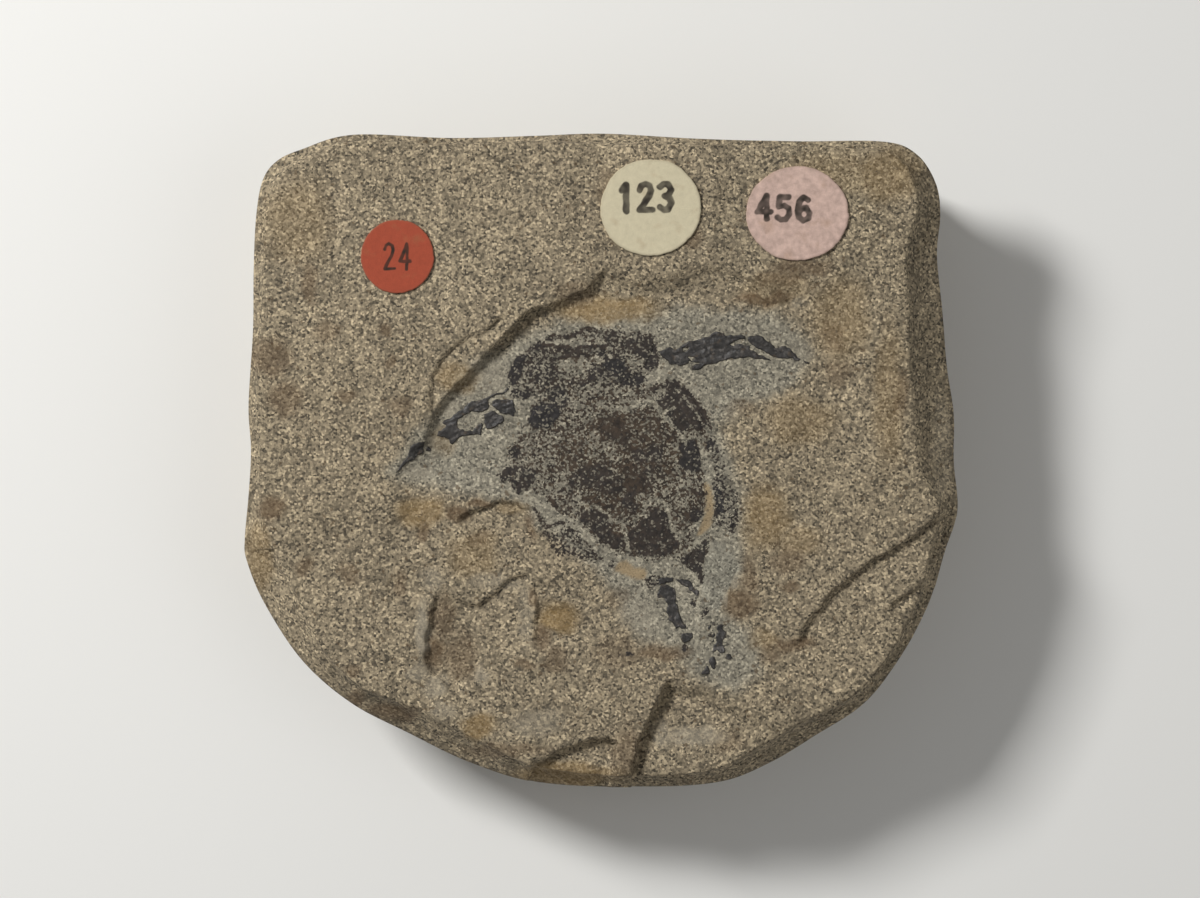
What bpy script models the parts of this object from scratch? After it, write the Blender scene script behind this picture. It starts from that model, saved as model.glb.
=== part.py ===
"""Fossil of a small armoured fish, Pterichthyodes, lying on a broken slab of sandstone.

The slab is one block of fine sandstone with a flat underside, rough broken edges and a
split upper face of thin layers that end in ledges.  The bones are thin crusts, each let
into a shallow bed in the stone, and three round paper labels lie near the upper edge.

Frame: metres, X to the right and Y to the top of the slab as it is read, Z up and away
from the fossil side.  The origin is on the underside, at the middle of the slab.
"""

import bmesh
import bpy
import math
import numpy as np

# All driving sizes are in millimetres, and MM turns them to metres.
MM = 0.001

# Heights above the underside.
BED_HEIGHT = 20.0          # bedding plane that the fish lies on
SIDE_FOOT_HEIGHT = 1.7     # where the broken side turns in to the underside

# How finely the block is cut into faces.
TOP_CELLS = 38             # faces across the upper face, an even number
SIDE_ROWS = 8              # rows of faces from the upper rim to the underside
LEDGE_HALF_WIDTH = 0.3     # a ledge falls over twice this width
LEDGE_BAND = 1.5           # faces this close to a ledge are halved
LENGTHWAYS_CELL = 90.0 / TOP_CELLS

# Clearances between a bone or a label and the stone around it.
GAP = 0.3
BONE_THICKNESS = 0.6
BONE_PROUD = 0.12          # how far a bone stands above the bedding plane
LABEL_THICKNESS = 0.25

# Silhouette of the slab from above, clockwise from the upper left corner:
# x, y, width of the broken rim inside it, and how far that rim falls.
SLAB_OUTLINE = [
    (-37.6, 39.2, 1.4, 1.4), (-31.1, 41.0, 1.0, 1.0), (-19.0, 40.6, 0.9, 0.8),
    (-8.0, 40.9, 1.0, 1.2), (0.5, 41.2, 1.6, 2.0), (12.4, 40.5, 0.9, 0.9),
    (24.9, 40.2, 0.8, 0.9), (35.6, 40.2, 1.5, 1.6), (39.8, 38.6, 2.4, 2.4),
    (42.2, 35.0, 3.0, 2.8), (42.8, 31.0, 3.2, 3.0), (42.4, 25.9, 4.2, 3.4),
    (43.1, 19.0, 4.6, 3.8), (43.7, 12.0, 5.0, 4.0), (44.6, 6.0, 5.4, 4.2),
    (44.6, 0.0, 4.8, 4.0), (45.0, -6.3, 2.6, 3.0), (43.4, -11.5, 2.0, 2.6),
    (41.4, -18.0, 1.7, 2.6), (37.8, -24.8, 1.6, 2.6), (33.2, -30.6, 1.8, 2.8),
    (27.0, -34.8, 2.6, 4.2), (21.4, -38.2, 2.8, 4.6), (14.9, -40.6, 2.0, 3.4),
    (4.6, -41.2, 1.6, 2.6), (-7.7, -40.7, 2.2, 3.4), (-16.5, -38.2, 3.4, 4.6),
    (-24.3, -34.5, 3.6, 5.0), (-31.6, -30.6, 2.8, 4.2), (-37.8, -25.2, 3.4, 3.8),
    (-42.6, -18.0, 4.6, 4.2), (-44.8, -12.6, 4.2, 4.0), (-45.0, -9.8, 3.0, 3.2),
    (-44.4, -4.0, 1.5, 1.9), (-44.1, 1.4, 1.3, 1.7), (-44.4, 7.0, 1.2, 1.6),
    (-43.8, 16.5, 1.2, 1.5), (-43.7, 24.0, 1.3, 1.5), (-43.4, 30.6, 1.5, 1.6),
    (-42.6, 35.2, 1.7, 1.7), (-40.8, 37.7, 1.7, 1.6),
]

# Edge of the shallow basin that the fish was cleared out of, clockwise.
BASIN_EDGE = [
    (-24.7, -1.1), (-22.2, 2.1), (-20.8, 5.5), (-18.8, 8.7), (-16.1, 11.7), (-13.5, 14.1),
    (-10.9, 17.0), (-8.5, 18.8), (-5.2, 19.8), (-2.1, 21.3), (0.4, 23.7), (3.1, 26.0),
    (8.0, 25.6), (12.4, 24.2), (19.0, 22.9), (22.7, 21.8), (24.5, 20.3), (26.2, 18.3),
    (27.9, 15.2), (29.2, 13.1), (31.0, 8.0), (31.5, -2.0), (27.0, -12.0), (20.0, -21.0),
    (11.0, -29.0), (-2.0, -29.0), (-14.0, -24.0), (-22.0, -15.0), (-26.0, -8.0),
]

# Heights of the layer outside the basin above the bedding plane: x, y, height.
OUTER_LEVELS = [
    (-30.0, 25.0, 1.6), (-14.0, 22.0, 1.7), (-24.0, 9.0, 1.3), (-34.0, 0.0, 0.8),
    (-5.0, 34.0, 1.4), (10.0, 33.0, 1.1), (25.0, 31.0, 0.9), (36.0, 20.0, 0.7),
    (34.0, 5.0, 0.35), (36.0, -6.0, 0.2), (-32.0, -16.0, 0.2), (-10.0, -32.0, 0.0),
    (20.0, -30.0, 0.0),
]

# Share of the basin's edge that is a sharp ledge and not a slow slope: x, y, share.
EDGE_SHARPNESS = [
    (-12.0, 16.0, 1.0), (-18.0, 10.0, 0.8), (-3.0, 21.0, 0.7), (5.0, 26.0, 0.05),
    (14.0, 24.0, 0.3), (23.0, 22.0, 0.5), (28.0, 15.0, 0.3), (31.0, 2.0, 0.0),
    (-25.0, -2.0, 0.1), (0.0, -30.0, 0.0),
]
SLOPE_WIDTH = 5.0

# Ledges: the stone is lower on the right of the line, and comes back to its level over
# the reach.  Each has its line, its depth, its reach and how far its ends fade.
LEDGES = {
    "terrace": ([(-21.3, 4.2), (-21.4, 7.5), (-20.6, 11.6), (-18.6, 14.2), (-14.6, 16.6),
                 (-11.4, 18.4)], 0.55, 3.5, 2.0),
    "right_layer": ([(24.0, -24.0), (26.0, -19.8), (29.8, -15.9), (33.4, -12.8),
                     (36.2, -11.4), (40.0, -8.8), (45.5, -4.0)], 0.85, 40.0, 3.0),
    "right_crack": ([(35.8, -18.6), (38.2, -16.9), (40.8, -15.3), (44.5, -13.2)],
                    0.6, 9.0, 1.5),
    "bottom_scar": ([(3.6, -42.0), (4.0, -38.4), (4.8, -35.6), (5.8, -32.7), (7.3, -29.9),
                     (8.6, -26.9)], 1.9, 8.0, 2.0),
    "bottom_step": ([(-13.0, -41.5), (-9.0, -38.4), (-5.2, -36.4), (-0.2, -34.9),
                     (2.6, -35.6)], 1.3, 30.0, 1.5),
    "hollow_upper": ([(-18.6, -8.2), (-16.3, -6.4), (-14.4, -5.5), (-12.7, -4.9),
                      (-10.4, -5.4), (-9.0, -7.4), (-8.4, -10.4)], 0.7, 7.0, 1.5),
    "hollow_middle": ([(-18.4, -17.2), (-16.3, -18.0), (-14.3, -17.3), (-12.7, -15.8),
                       (-10.9, -14.7), (-8.4, -14.2)], 0.6, 6.0, 1.5),
    "hollow_right": ([(-8.4, -23.6), (-8.2, -19.0), (-8.4, -14.8)], 0.5, 5.0, 1.5),
    "hollow_left": ([(-17.6, -29.8), (-20.2, -27.4), (-22.1, -25.0), (-21.6, -20.6),
                     (-20.4, -15.6)], 0.8, 5.5, 2.0),
}

# Slow swells of the split face: size across and height, with the seed of each.
SWELLS = [(15.0, 0.30, 11), (6.0, 0.16, 12)]
CALM_OVER_FISH = 0.3       # share of the swells that is left on the bedding plane
EDGE_WEAR = 0.15           # how far the worn upper edge lies below the face beside it

# The broken sides: their lean, the breaks in them (size, depth, drift down the side and
# seed), the layers that stand out, and how far the underside lies inside the silhouette.
SIDE_TAPER = 0.8
SIDE_BREAKS = [(9.0, 1.5, 3.0, 23), (3.8, 0.9, 9.0, 24)]
BEDDING_DEPTH = 0.7
BEDDING_LAYERS = 6.0
FOOT_INSET = 3.6
TRUNK_DOME = (0.5, -1.0, 13.0, 0.3)     # x, y, radius and height of the low dome

# Bones: x, y along each outline, clockwise.
HEAD_OUTLINE = [
    (-11.8, 10.7), (-11.6, 11.9), (-10.8, 12.9), (-9.4, 13.7), (-8.8, 14.5), (-7.8, 15.1),
    (-6.6, 15.8), (-4.0, 15.8), (-2.4, 16.6), (0.8, 16.5), (5.6, 16.3), (6.6, 15.7),
    (6.9, 14.5), (6.3, 12.9), (5.2, 11.3), (3.2, 9.8), (0.6, 9.0), (-2.0, 8.8),
    (-5.2, 8.2), (-9.0, 8.3), (-11.0, 9.2),
]
TRUNK_OUTLINE = [
    (6.2, 9.2), (8.0, 10.1), (10.0, 9.7), (11.6, 8.3), (12.7, 6.1), (13.0, 3.7),
    (12.9, -2.3), (13.1, -7.3), (12.1, -9.9), (11.1, -12.4), (12.0, -14.6), (10.4, -14.0),
    (7.6, -13.1), (5.4, -13.6), (4.4, -12.5), (1.6, -11.8), (-0.7, -10.0), (-2.3, -8.3),
    (-4.6, -7.0), (-6.7, -5.2), (-8.6, -4.5), (-11.2, -4.0), (-12.9, -2.5), (-13.1, -1.4),
    (-11.6, -0.2), (-11.6, 1.6), (-11.2, 3.7), (-9.2, 5.3), (-8.2, 7.0), (-5.2, 7.3),
    (-1.7, 7.9), (1.1, 8.1), (3.8, 8.7),
]
RIGHT_ARM_OUTLINE = [
    (6.9, 12.4), (8.3, 13.7), (10.2, 14.6), (12.4, 15.4), (13.9, 16.1), (15.1, 16.3),
    (16.8, 15.9), (20.1, 15.5), (21.8, 14.9), (23.3, 14.0), (24.5, 13.2), (26.6, 12.4),
    (24.9, 12.4), (23.0, 12.6), (19.6, 12.9), (16.4, 12.9), (13.4, 12.2), (11.6, 11.2),
    (10.5, 12.0), (8.8, 12.3), (7.6, 11.7),
]
LEFT_ARM_OUTLINE = [
    (-12.0, 8.4), (-11.9, 6.0), (-13.1, 5.0), (-14.4, 4.5), (-16.1, 3.3), (-17.8, 2.7),
    (-18.8, 2.1), (-20.6, 3.2), (-20.0, 4.1), (-20.1, 5.1), (-18.8, 5.7), (-17.4, 6.6),
    (-16.0, 7.5), (-14.6, 7.8), (-13.1, 8.3),
]
LEFT_ARM_TIP_OUTLINE = [
    (-26.0, -1.7), (-24.7, 0.3), (-23.6, 1.6), (-22.4, 2.5), (-21.4, 1.4), (-22.6, 1.1),
    (-23.8, -0.1),
]
LEFT_FLANK_OUTLINE = [
    (-7.3, -6.1), (-5.2, -7.6), (-3.3, -9.0), (-1.4, -10.9), (0.2, -12.4), (-2.1, -12.7),
    (-4.5, -12.1), (-5.8, -10.5), (-7.0, -8.2),
]
RIGHT_FLANK_OUTLINE = [
    (13.9, -0.8), (15.1, -2.1), (16.1, -3.6), (17.0, -4.8), (17.3, -6.7), (16.6, -8.6),
    (15.1, -9.1), (14.4, -8.5), (14.9, -6.0), (14.1, -2.9),
]
TAIL_STRIP_OUTLINE = [
    (6.9, -15.9), (8.3, -15.1), (9.3, -15.2), (9.7, -17.9), (10.5, -20.9), (9.2, -21.0),
    (8.2, -17.9), (7.3, -16.9),
]
TAIL_BRANCH_OUTLINE = [
    (10.0, -14.8), (10.9, -15.1), (11.6, -15.8), (12.4, -16.5), (11.9, -17.0), (11.0, -16.2),
    (10.2, -15.6),
]
TAIL_CLUSTER_OUTLINE = [
    (14.6, -20.5), (15.6, -20.8), (15.8, -21.6), (15.4, -22.5), (15.6, -24.0), (14.6, -24.3),
    (13.7, -24.0), (14.2, -22.5), (13.3, -21.9), (13.7, -21.3), (14.4, -21.3),
]

# Loose scales of the tail: x, y, half length, half width and turn in degrees.
TAIL_SCALES = [
    (10.7, -22.2, 0.85, 0.55, 0.0), (16.1, -24.9, 0.60, 0.48, 80.0),
    (14.0, -25.5, 0.72, 0.42, 100.0), (12.8, -26.6, 0.72, 0.42, 65.0),
]
SCALE_SIDES = 10

# Seams between the plates of the trunk and cracks of the head, cut as shallow grooves.
TRUNK_SEAMS = [
    [(6.1, 7.6), (7.7, 5.9), (9.4, 3.9), (10.5, 2.0), (10.2, -2.0), (9.0, -5.0)],
    [(-2.3, -4.3), (-1.0, -5.8), (1.0, -6.5), (3.1, -7.8), (3.4, -11.2)],
    [(5.9, -5.9), (6.8, -4.7), (7.7, -5.1), (8.5, -7.2), (9.8, -9.9), (12.8, -7.5)],
    [(-8.5, 4.0), (-5.5, 3.4), (-3.0, 5.6), (1.1, 7.0), (5.5, 7.3)],
]
HEAD_SEAMS = [
    [(-8.7, 14.2), (-4.5, 14.0), (0.1, 14.5), (3.0, 14.6)],
    [(-5.9, 12.5), (-3.1, 13.7), (-1.3, 13.1)],
    [(-11.0, 9.8), (-8.0, 10.6), (-3.0, 9.9), (4.0, 11.4)],
]
SEAM_DEPTH = 0.30
SEAM_WIDTH = 0.70

# Paper labels: x, y of the middle, half width and half height, and the paper's unevenness.
LABELS = {
    "label_orange": (-25.5, 25.6, 4.67, 4.67, 0.010),
    "label_cream": (6.2, 31.7, 6.40, 6.21, 0.018),
    "label_pink": (24.6, 31.0, 6.53, 6.02, 0.012),
}
LABEL_SIDES = 40
LABEL_FLAT_MARGIN = 1.8    # the stone is level under a label and this far around it

# Colours, from the stone, bone and papers themselves: red, green, blue, roughness.
STONE = (0.26, 0.21, 0.15, 0.92)
BONE = (0.055, 0.050, 0.050, 0.55)
CARAPACE = (0.115, 0.100, 0.082, 0.70)
ORANGE_PAPER = (0.40, 0.075, 0.038, 0.85)
CREAM_PAPER = (0.56, 0.49, 0.33, 0.88)
PINK_PAPER = (0.45, 0.29, 0.25, 0.88)


def clear_scene():
    """Remove whatever objects the file holds."""
    for old in list(bpy.data.objects):
        bpy.data.objects.remove(old, do_unlink=True)


def new_collection(name):
    """Add a collection to the scene."""
    group = bpy.data.collections.new(name)
    bpy.context.scene.collection.children.link(group)
    return group


def finish(name, look):
    """A plain material from a red, green, blue and roughness."""
    material = bpy.data.materials.new(name)
    material.use_nodes = True
    shader = material.node_tree.nodes["Principled BSDF"]
    shader.inputs["Base Color"].default_value = (look[0], look[1], look[2], 1.0)
    shader.inputs["Roughness"].default_value = look[3]
    shader.inputs["Metallic"].default_value = 0.0
    return material


def smooth_step(value):
    """Ease from 0 to 1, flat at both ends."""
    t = np.clip(value, 0.0, 1.0)
    return t * t * (3.0 - 2.0 * t)


def soft_noise(x, y, seed):
    """Random values on a square lattice, eased between its points, from -1 to 1."""
    lattice = np.random.default_rng(seed).uniform(-1.0, 1.0, (64, 64))
    column = np.floor(x).astype(int)
    row = np.floor(y).astype(int)
    across = smooth_step(x - column)
    along = smooth_step(y - row)
    low = lattice[row % 64, column % 64] * (1 - across) \
        + lattice[row % 64, (column + 1) % 64] * across
    high = lattice[(row + 1) % 64, column % 64] * (1 - across) \
        + lattice[(row + 1) % 64, (column + 1) % 64] * across
    return low * (1 - along) + high * along


def smooth_line(points, closed, steps=6):
    """Catmull-Rom curve through the points, as rows of the same columns."""
    knots = np.array(points, dtype=float)
    if closed:
        before, after, last = np.roll(knots, 1, 0), np.roll(knots, -1, 0), np.roll(knots, -2, 0)
    else:
        padded = np.vstack([2 * knots[0] - knots[1], knots, 2 * knots[-1] - knots[-2]])
        before, knots, after, last = padded[:-3], padded[1:-2], padded[2:-1], padded[3:]
    pieces = []
    for step in range(steps):
        t = step / steps
        pieces.append(0.5 * (2 * knots + (after - before) * t
                             + (2 * before - 5 * knots + 4 * after - last) * t * t
                             + (3 * knots - before - 3 * after + last) * t ** 3))
    curve = np.stack(pieces, axis=1).reshape(-1, knots.shape[1])
    return curve if closed else np.vstack([curve, after[-1]])


def line_distance(x, y, line, closed=False):
    """Distance to a line, positive on its right, and the place along it from 0 to 1."""
    start = line if closed else line[:-1]
    run = (np.roll(line, -1, 0) if closed else line[1:]) - start
    off_x = x[..., None] - start[:, 0]
    off_y = y[..., None] - start[:, 1]
    length = np.maximum((run ** 2).sum(axis=1), 1e-9)
    share = np.clip((off_x * run[:, 0] + off_y * run[:, 1]) / length, 0.0, 1.0)
    gap_x = off_x - share * run[:, 0]
    gap_y = off_y - share * run[:, 1]
    gap = np.hypot(gap_x, gap_y)
    nearest = gap.argmin(axis=-1)[..., None]
    side = np.sign(off_x * run[:, 1] - off_y * run[:, 0])
    distance = np.take_along_axis(gap * side, nearest, -1)[..., 0]
    place = (nearest[..., 0] + np.take_along_axis(share, nearest, -1)[..., 0]) / len(start)
    return distance, place


def blend_spots(x, y, spots):
    """Value between scattered spots, each weighing by its closeness."""
    weight_sum = 0.0
    value_sum = 0.0
    for spot_x, spot_y, value in spots:
        weight = 1.0 / ((x - spot_x) ** 2 + (y - spot_y) ** 2 + 4.0) ** 2
        weight_sum = weight_sum + weight
        value_sum = value_sum + weight * value
    return value_sum / weight_sum


BASIN_LINE = smooth_line(BASIN_EDGE, closed=True, steps=3)
LEDGE_LINES = {name: smooth_line(ledge[0], closed=False, steps=4)
               for name, ledge in LEDGES.items()}


def split_face(x, y):
    """Height of the split upper face of the stone, in mm, without the rim."""
    inside, _ = line_distance(x, y, BASIN_LINE, closed=True)
    sharp = smooth_step((LEDGE_HALF_WIDTH - inside) / (2 * LEDGE_HALF_WIDTH))
    slow = smooth_step((SLOPE_WIDTH / 2 - inside) / SLOPE_WIDTH)
    share = blend_spots(x, y, EDGE_SHARPNESS)
    height = blend_spots(x, y, OUTER_LEVELS) * (share * sharp + (1 - share) * slow)
    for name, (_, depth, reach, fade) in LEDGES.items():
        distance, place = line_distance(x, y, LEDGE_LINES[name])
        line = LEDGE_LINES[name]
        length = np.hypot(*np.diff(line, axis=0).T).sum()
        ends = smooth_step(place * length / fade) * smooth_step((1 - place) * length / fade)
        fallen = smooth_step((distance + LEDGE_HALF_WIDTH) / (2 * LEDGE_HALF_WIDTH))
        height = height - depth * ends * fallen * np.exp(-np.maximum(distance, 0) / reach)
    calm = smooth_step(np.hypot(x - 1.0, y) / 30.0)
    for size, swell, seed in SWELLS:
        height = height + swell * soft_noise(x / size + 40, y / size + 40, seed) \
            * (CALM_OVER_FISH + (1 - CALM_OVER_FISH) * calm)
    dome_x, dome_y, radius, rise = TRUNK_DOME
    height = height + rise * smooth_step(1 - np.hypot(x - dome_x, y - dome_y) / radius)
    return BED_HEIGHT + height


def stone_top(x, y):
    """Height of the upper face, made level under each label."""
    height = split_face(x, y)
    for label_x, label_y, half_width, _, _ in LABELS.values():
        level = split_face(np.array([label_x]), np.array([label_y]))[0]
        away = np.hypot(x - label_x, y - label_y) - half_width - LABEL_FLAT_MARGIN
        height = level + (height - level) * smooth_step(away / 3.0)
    return height


def slab_rim():
    """Silhouette at even steps from corner to corner: x, y, rim width and rim fall."""
    curve = smooth_line(SLAB_OUTLINE, closed=True, steps=12)
    sums = curve[:, 0] + curve[:, 1]
    differences = curve[:, 0] - curve[:, 1]
    corners = [differences.argmin(), sums.argmax(), differences.argmax(), sums.argmin()]
    sides = []
    for corner, following in zip(corners, corners[1:] + corners[:1]):
        count = (following - corner) % len(curve)
        stretch = curve[(corner + np.arange(count + 1)) % len(curve)]
        travelled = np.concatenate([[0.0], np.cumsum(np.hypot(*np.diff(stretch[:, :2], axis=0).T))])
        even = np.linspace(0.0, travelled[-1], TOP_CELLS + 1)[:-1]
        sides.append(np.stack([np.interp(even, travelled, column) for column in stretch.T], axis=1))
    rim = np.vstack(sides)
    middle = (rim[:, :2].max(axis=0) + rim[:, :2].min(axis=0)) / 2
    rim[:, :2] -= middle
    return rim


def side_inset(x, y, share):
    """How far the broken side is eaten in, from its widest line to its foot."""
    inset = SIDE_TAPER * share
    for size, depth, drift, seed in SIDE_BREAKS:
        inset = inset + depth * (1 + soft_noise(x / size + drift * share, y / size, seed)) / 2
    bedding = BEDDING_DEPTH * (1 + soft_noise(share * BEDDING_LAYERS, 0.0 * x, 26)) / 2
    return (inset + bedding) * smooth_step(share / 0.3)


def side_profile(rim, start, row):
    """Inset from the silhouette and height of one row of the side, below its upper edge."""
    x, y, width, fall = rim.T
    widest = start - fall
    if row == 0:
        return width, start
    if row == 1:
        rough = soft_noise(x / 4.0, y / 4.0, 21)
        return width * (0.45 + 0.1 * rough), start - fall * (0.45 + 0.15 * rough)
    if row == SIDE_ROWS:
        return FOOT_INSET + 0.7 * soft_noise(x / 10.0, y / 10.0, 22), 0.0 * start
    share = (row - 2) / (SIDE_ROWS - 3)
    return side_inset(x, y, share), widest + (SIDE_FOOT_HEIGHT - widest) * share


def outward(rim):
    """Unit vectors that point out of the silhouette."""
    run = np.roll(rim[:, :2], -1, 0) - np.roll(rim[:, :2], 1, 0)
    run /= np.hypot(*run.T)[:, None]
    return np.stack([-run[:, 1], run[:, 0]], axis=1)


def ledge_places(x, y):
    """For each ledge, the distance to it and whether the ledge is sharp there."""
    inside, _ = line_distance(x, y, BASIN_LINE, closed=True)
    yield BASIN_LINE, True, inside, blend_spots(x, y, EDGE_SHARPNESS) > 0.35
    for line in LEDGE_LINES.values():
        distance, place = line_distance(x, y, line)
        yield line, False, distance, (place > 0.02) & (place < 0.98)


def snap_to_ledges(x, y):
    """Slide points that lie close to a ledge on to its upper or lower edge."""
    reach = 0.2 * LENGTHWAYS_CELL
    step = 0.01
    for line, closed, here, sharp in ledge_places(x, y):
        slope_x = (line_distance(x + step, y, line, closed)[0] - here) / step
        slope_y = (line_distance(x, y + step, line, closed)[0] - here) / step
        close = sharp & (np.abs(here) < reach + LEDGE_HALF_WIDTH) \
            & (np.abs(np.hypot(slope_x, slope_y) - 1.0) < 0.1)
        wanted = np.where(here > 0, LEDGE_HALF_WIDTH, -LEDGE_HALF_WIDTH)
        shift = np.where(close, wanted - here, 0.0)
        x = x + shift * slope_x
        y = y + shift * slope_y
    return x, y


def refine_ledges(mesh):
    """Halve the faces of the upper face along the ledges and shape what is new."""
    work = bmesh.new()
    work.from_mesh(mesh)
    on_side = work.verts.layers.int.new("on_side")
    work.verts.index_update()
    grid_size = (TOP_CELLS + 1) ** 2
    for vert in work.verts:
        around = {other.index for face in vert.link_faces for other in face.verts}
        vert[on_side] = int(max(around) >= grid_size)
    edges = [edge for edge in work.edges if not any(vert[on_side] for vert in edge.verts)]
    middle = np.array([(edge.verts[0].co + edge.verts[1].co) / 2 for edge in edges]) / MM
    near = np.zeros(len(edges), dtype=bool)
    for _, _, distance, sharp in ledge_places(middle[:, 0], middle[:, 1]):
        near |= sharp & (np.abs(distance) < LEDGE_BAND)
    chosen = [edge for edge, close in zip(edges, near) if close]
    bmesh.ops.subdivide_edges(work, edges=chosen, cuts=1, use_grid_fill=True)
    bmesh.ops.triangulate(work, faces=[face for face in work.faces if 4 < len(face.verts) < 20])
    top = [vert for vert in work.verts if not vert[on_side]]
    x, y = np.array([vert.co[:2] for vert in top]).T / MM
    x, y = snap_to_ledges(x, y)
    for vert, place in zip(top, np.column_stack([x, y, stone_top(x, y)]) * MM):
        vert.co = place
    work.to_mesh(mesh)
    work.free()


def slab_shape(points):
    """Carry the flat square grid and its hanging rows on to the stone."""
    u, v, row = points[:, 0], points[:, 1], np.rint(-points[:, 2]).astype(int)
    share = np.maximum(np.abs(u), np.abs(v))
    a = u / np.maximum(share, 1e-9)
    b = v / np.maximum(share, 1e-9)
    around = np.select([b > 0.99999, a > 0.99999, b < -0.99999],
                       [(a + 1) / 2, 1 + (1 - b) / 2, 2 + (1 - a) / 2], 3 + (b + 1) / 2)
    station = around * TOP_CELLS
    rim = slab_rim()
    normal = outward(rim)
    upper_edge = rim[:, :2] - normal * rim[:, 2:3]
    start = stone_top(*upper_edge.T) - EDGE_WEAR
    placed = np.zeros_like(points)
    knots = np.arange(len(rim) + 1)
    for level in range(SIDE_ROWS + 1):
        inset, height = side_profile(rim, start, level)
        ring = np.column_stack([rim[:, :2] - normal * inset[:, None], height])
        ring = np.vstack([ring, ring[:1]])
        chosen = row == level
        for axis in range(3):
            placed[chosen, axis] = np.interp(station[chosen], knots, ring[:, axis])
    top = row == 0
    x = placed[top, 0] * share[top]
    y = placed[top, 1] * share[top]
    inner = share[top] < 0.999
    placed[top, 0] = x
    placed[top, 1] = y
    placed[top, 2] = np.where(inner, stone_top(x, y), placed[top, 2])
    return placed * MM


def move_vertices(mesh, move):
    """Put every vertex of a mesh where a function of their positions says."""
    points = np.empty(len(mesh.vertices) * 3)
    mesh.vertices.foreach_get("co", points)
    mesh.vertices.foreach_set("co", move(points.reshape(-1, 3)).ravel())
    mesh.update()


def hang_rows(mesh, rows):
    """Extrude the open rim of a grid straight down, row by row, and close it below."""
    work = bmesh.new()
    work.from_mesh(mesh)
    for _ in range(rows):
        rim = [edge for edge in work.edges if edge.is_boundary]
        grown = bmesh.ops.extrude_edge_only(work, edges=rim)["geom"]
        moved = [item for item in grown if isinstance(item, bmesh.types.BMVert)]
        bmesh.ops.translate(work, vec=(0.0, 0.0, -1.0), verts=moved)
    rim = [edge for edge in work.edges if edge.is_boundary]
    bmesh.ops.edgeloop_fill(work, edges=rim)
    bmesh.ops.recalc_face_normals(work, faces=work.faces)
    work.to_mesh(mesh)
    work.free()


def grid_body(name, group, cells_x, cells_y, rows, move, material):
    """A grid primitive closed below and carried into shape by a function."""
    bpy.ops.mesh.primitive_grid_add(x_subdivisions=cells_x, y_subdivisions=cells_y, size=2.0)
    body = bpy.context.object
    body.name = name
    for owner in list(body.users_collection):
        owner.objects.unlink(body)
    group.objects.link(body)
    hang_rows(body.data, rows)
    move_vertices(body.data, move)
    body.data.shade_smooth()
    body.data.set_sharp_from_angle(angle=math.radians(32.0))
    body.data.materials.append(material)
    return body


def outline_prism(name, outline, low, high, grow, group):
    """A flat outline filled and extruded from one height to another, as a closed mesh."""
    curve = bpy.data.curves.new(name, "CURVE")
    curve.dimensions = "2D"
    curve.fill_mode = "BOTH"
    curve.extrude = (high - low) / 2 * MM
    spline = curve.splines.new("POLY")
    spline.points.add(len(outline) - 1)
    points = grown_outline(outline, grow)
    for knot, (x, y) in zip(spline.points, points):
        knot.co = (x * MM, y * MM, 0.0, 1.0)
    spline.use_cyclic_u = True
    drawn = bpy.data.objects.new(name, curve)
    group.objects.link(drawn)
    drawn.location.z = (low + high) / 2 * MM
    bpy.context.view_layer.update()
    seen = drawn.evaluated_get(bpy.context.evaluated_depsgraph_get())
    mesh = bpy.data.meshes.new_from_object(seen)
    work = bmesh.new()
    work.from_mesh(mesh)
    bmesh.ops.remove_doubles(work, verts=work.verts, dist=0.000001)
    bmesh.ops.recalc_face_normals(work, faces=work.faces)
    work.to_mesh(mesh)
    work.free()
    solid = bpy.data.objects.new(name, mesh)
    group.objects.link(solid)
    solid.matrix_world = drawn.matrix_world
    bpy.data.objects.remove(drawn, do_unlink=True)
    solid.name = name
    return solid


def grown_outline(outline, grow):
    """The outline moved out by the same distance on every side, corners kept square."""
    points = np.array(outline, dtype=float)
    before = points - np.roll(points, 1, 0)
    after = np.roll(points, -1, 0) - points
    area = np.sum(points[:, 0] * np.roll(points[:, 1], -1) - np.roll(points[:, 0], -1) * points[:, 1])
    turn = 1.0 if area > 0 else -1.0
    before /= np.hypot(*before.T)[:, None]
    after /= np.hypot(*after.T)[:, None]
    normal_a = turn * np.stack([before[:, 1], -before[:, 0]], axis=1)
    normal_b = turn * np.stack([after[:, 1], -after[:, 0]], axis=1)
    corner = normal_a + normal_b
    reach = np.maximum((corner ** 2).sum(axis=1) / 2, 0.35)
    return points + grow * corner / reach[:, None]


def as_cutter(piece):
    """Hide a piece that only shapes others."""
    piece.hide_render = True
    piece.display_type = "WIRE"
    return piece


def cut(piece, tool, operation):
    """Join or cut a piece with another."""
    change = piece.modifiers.new(f"{operation.title()} {tool.name}", "BOOLEAN")
    change.operation = operation
    change.solver = "EXACT"
    change.object = tool


def seam_grooves(x, y, seams):
    """Depth of the grooves along the seams between plates."""
    depth = np.zeros_like(x)
    for seam in seams:
        away, _ = line_distance(x, y, smooth_line(seam, closed=False, steps=4))
        depth = np.maximum(depth, SEAM_DEPTH * np.exp(-(away / SEAM_WIDTH) ** 2))
    return depth


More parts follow.
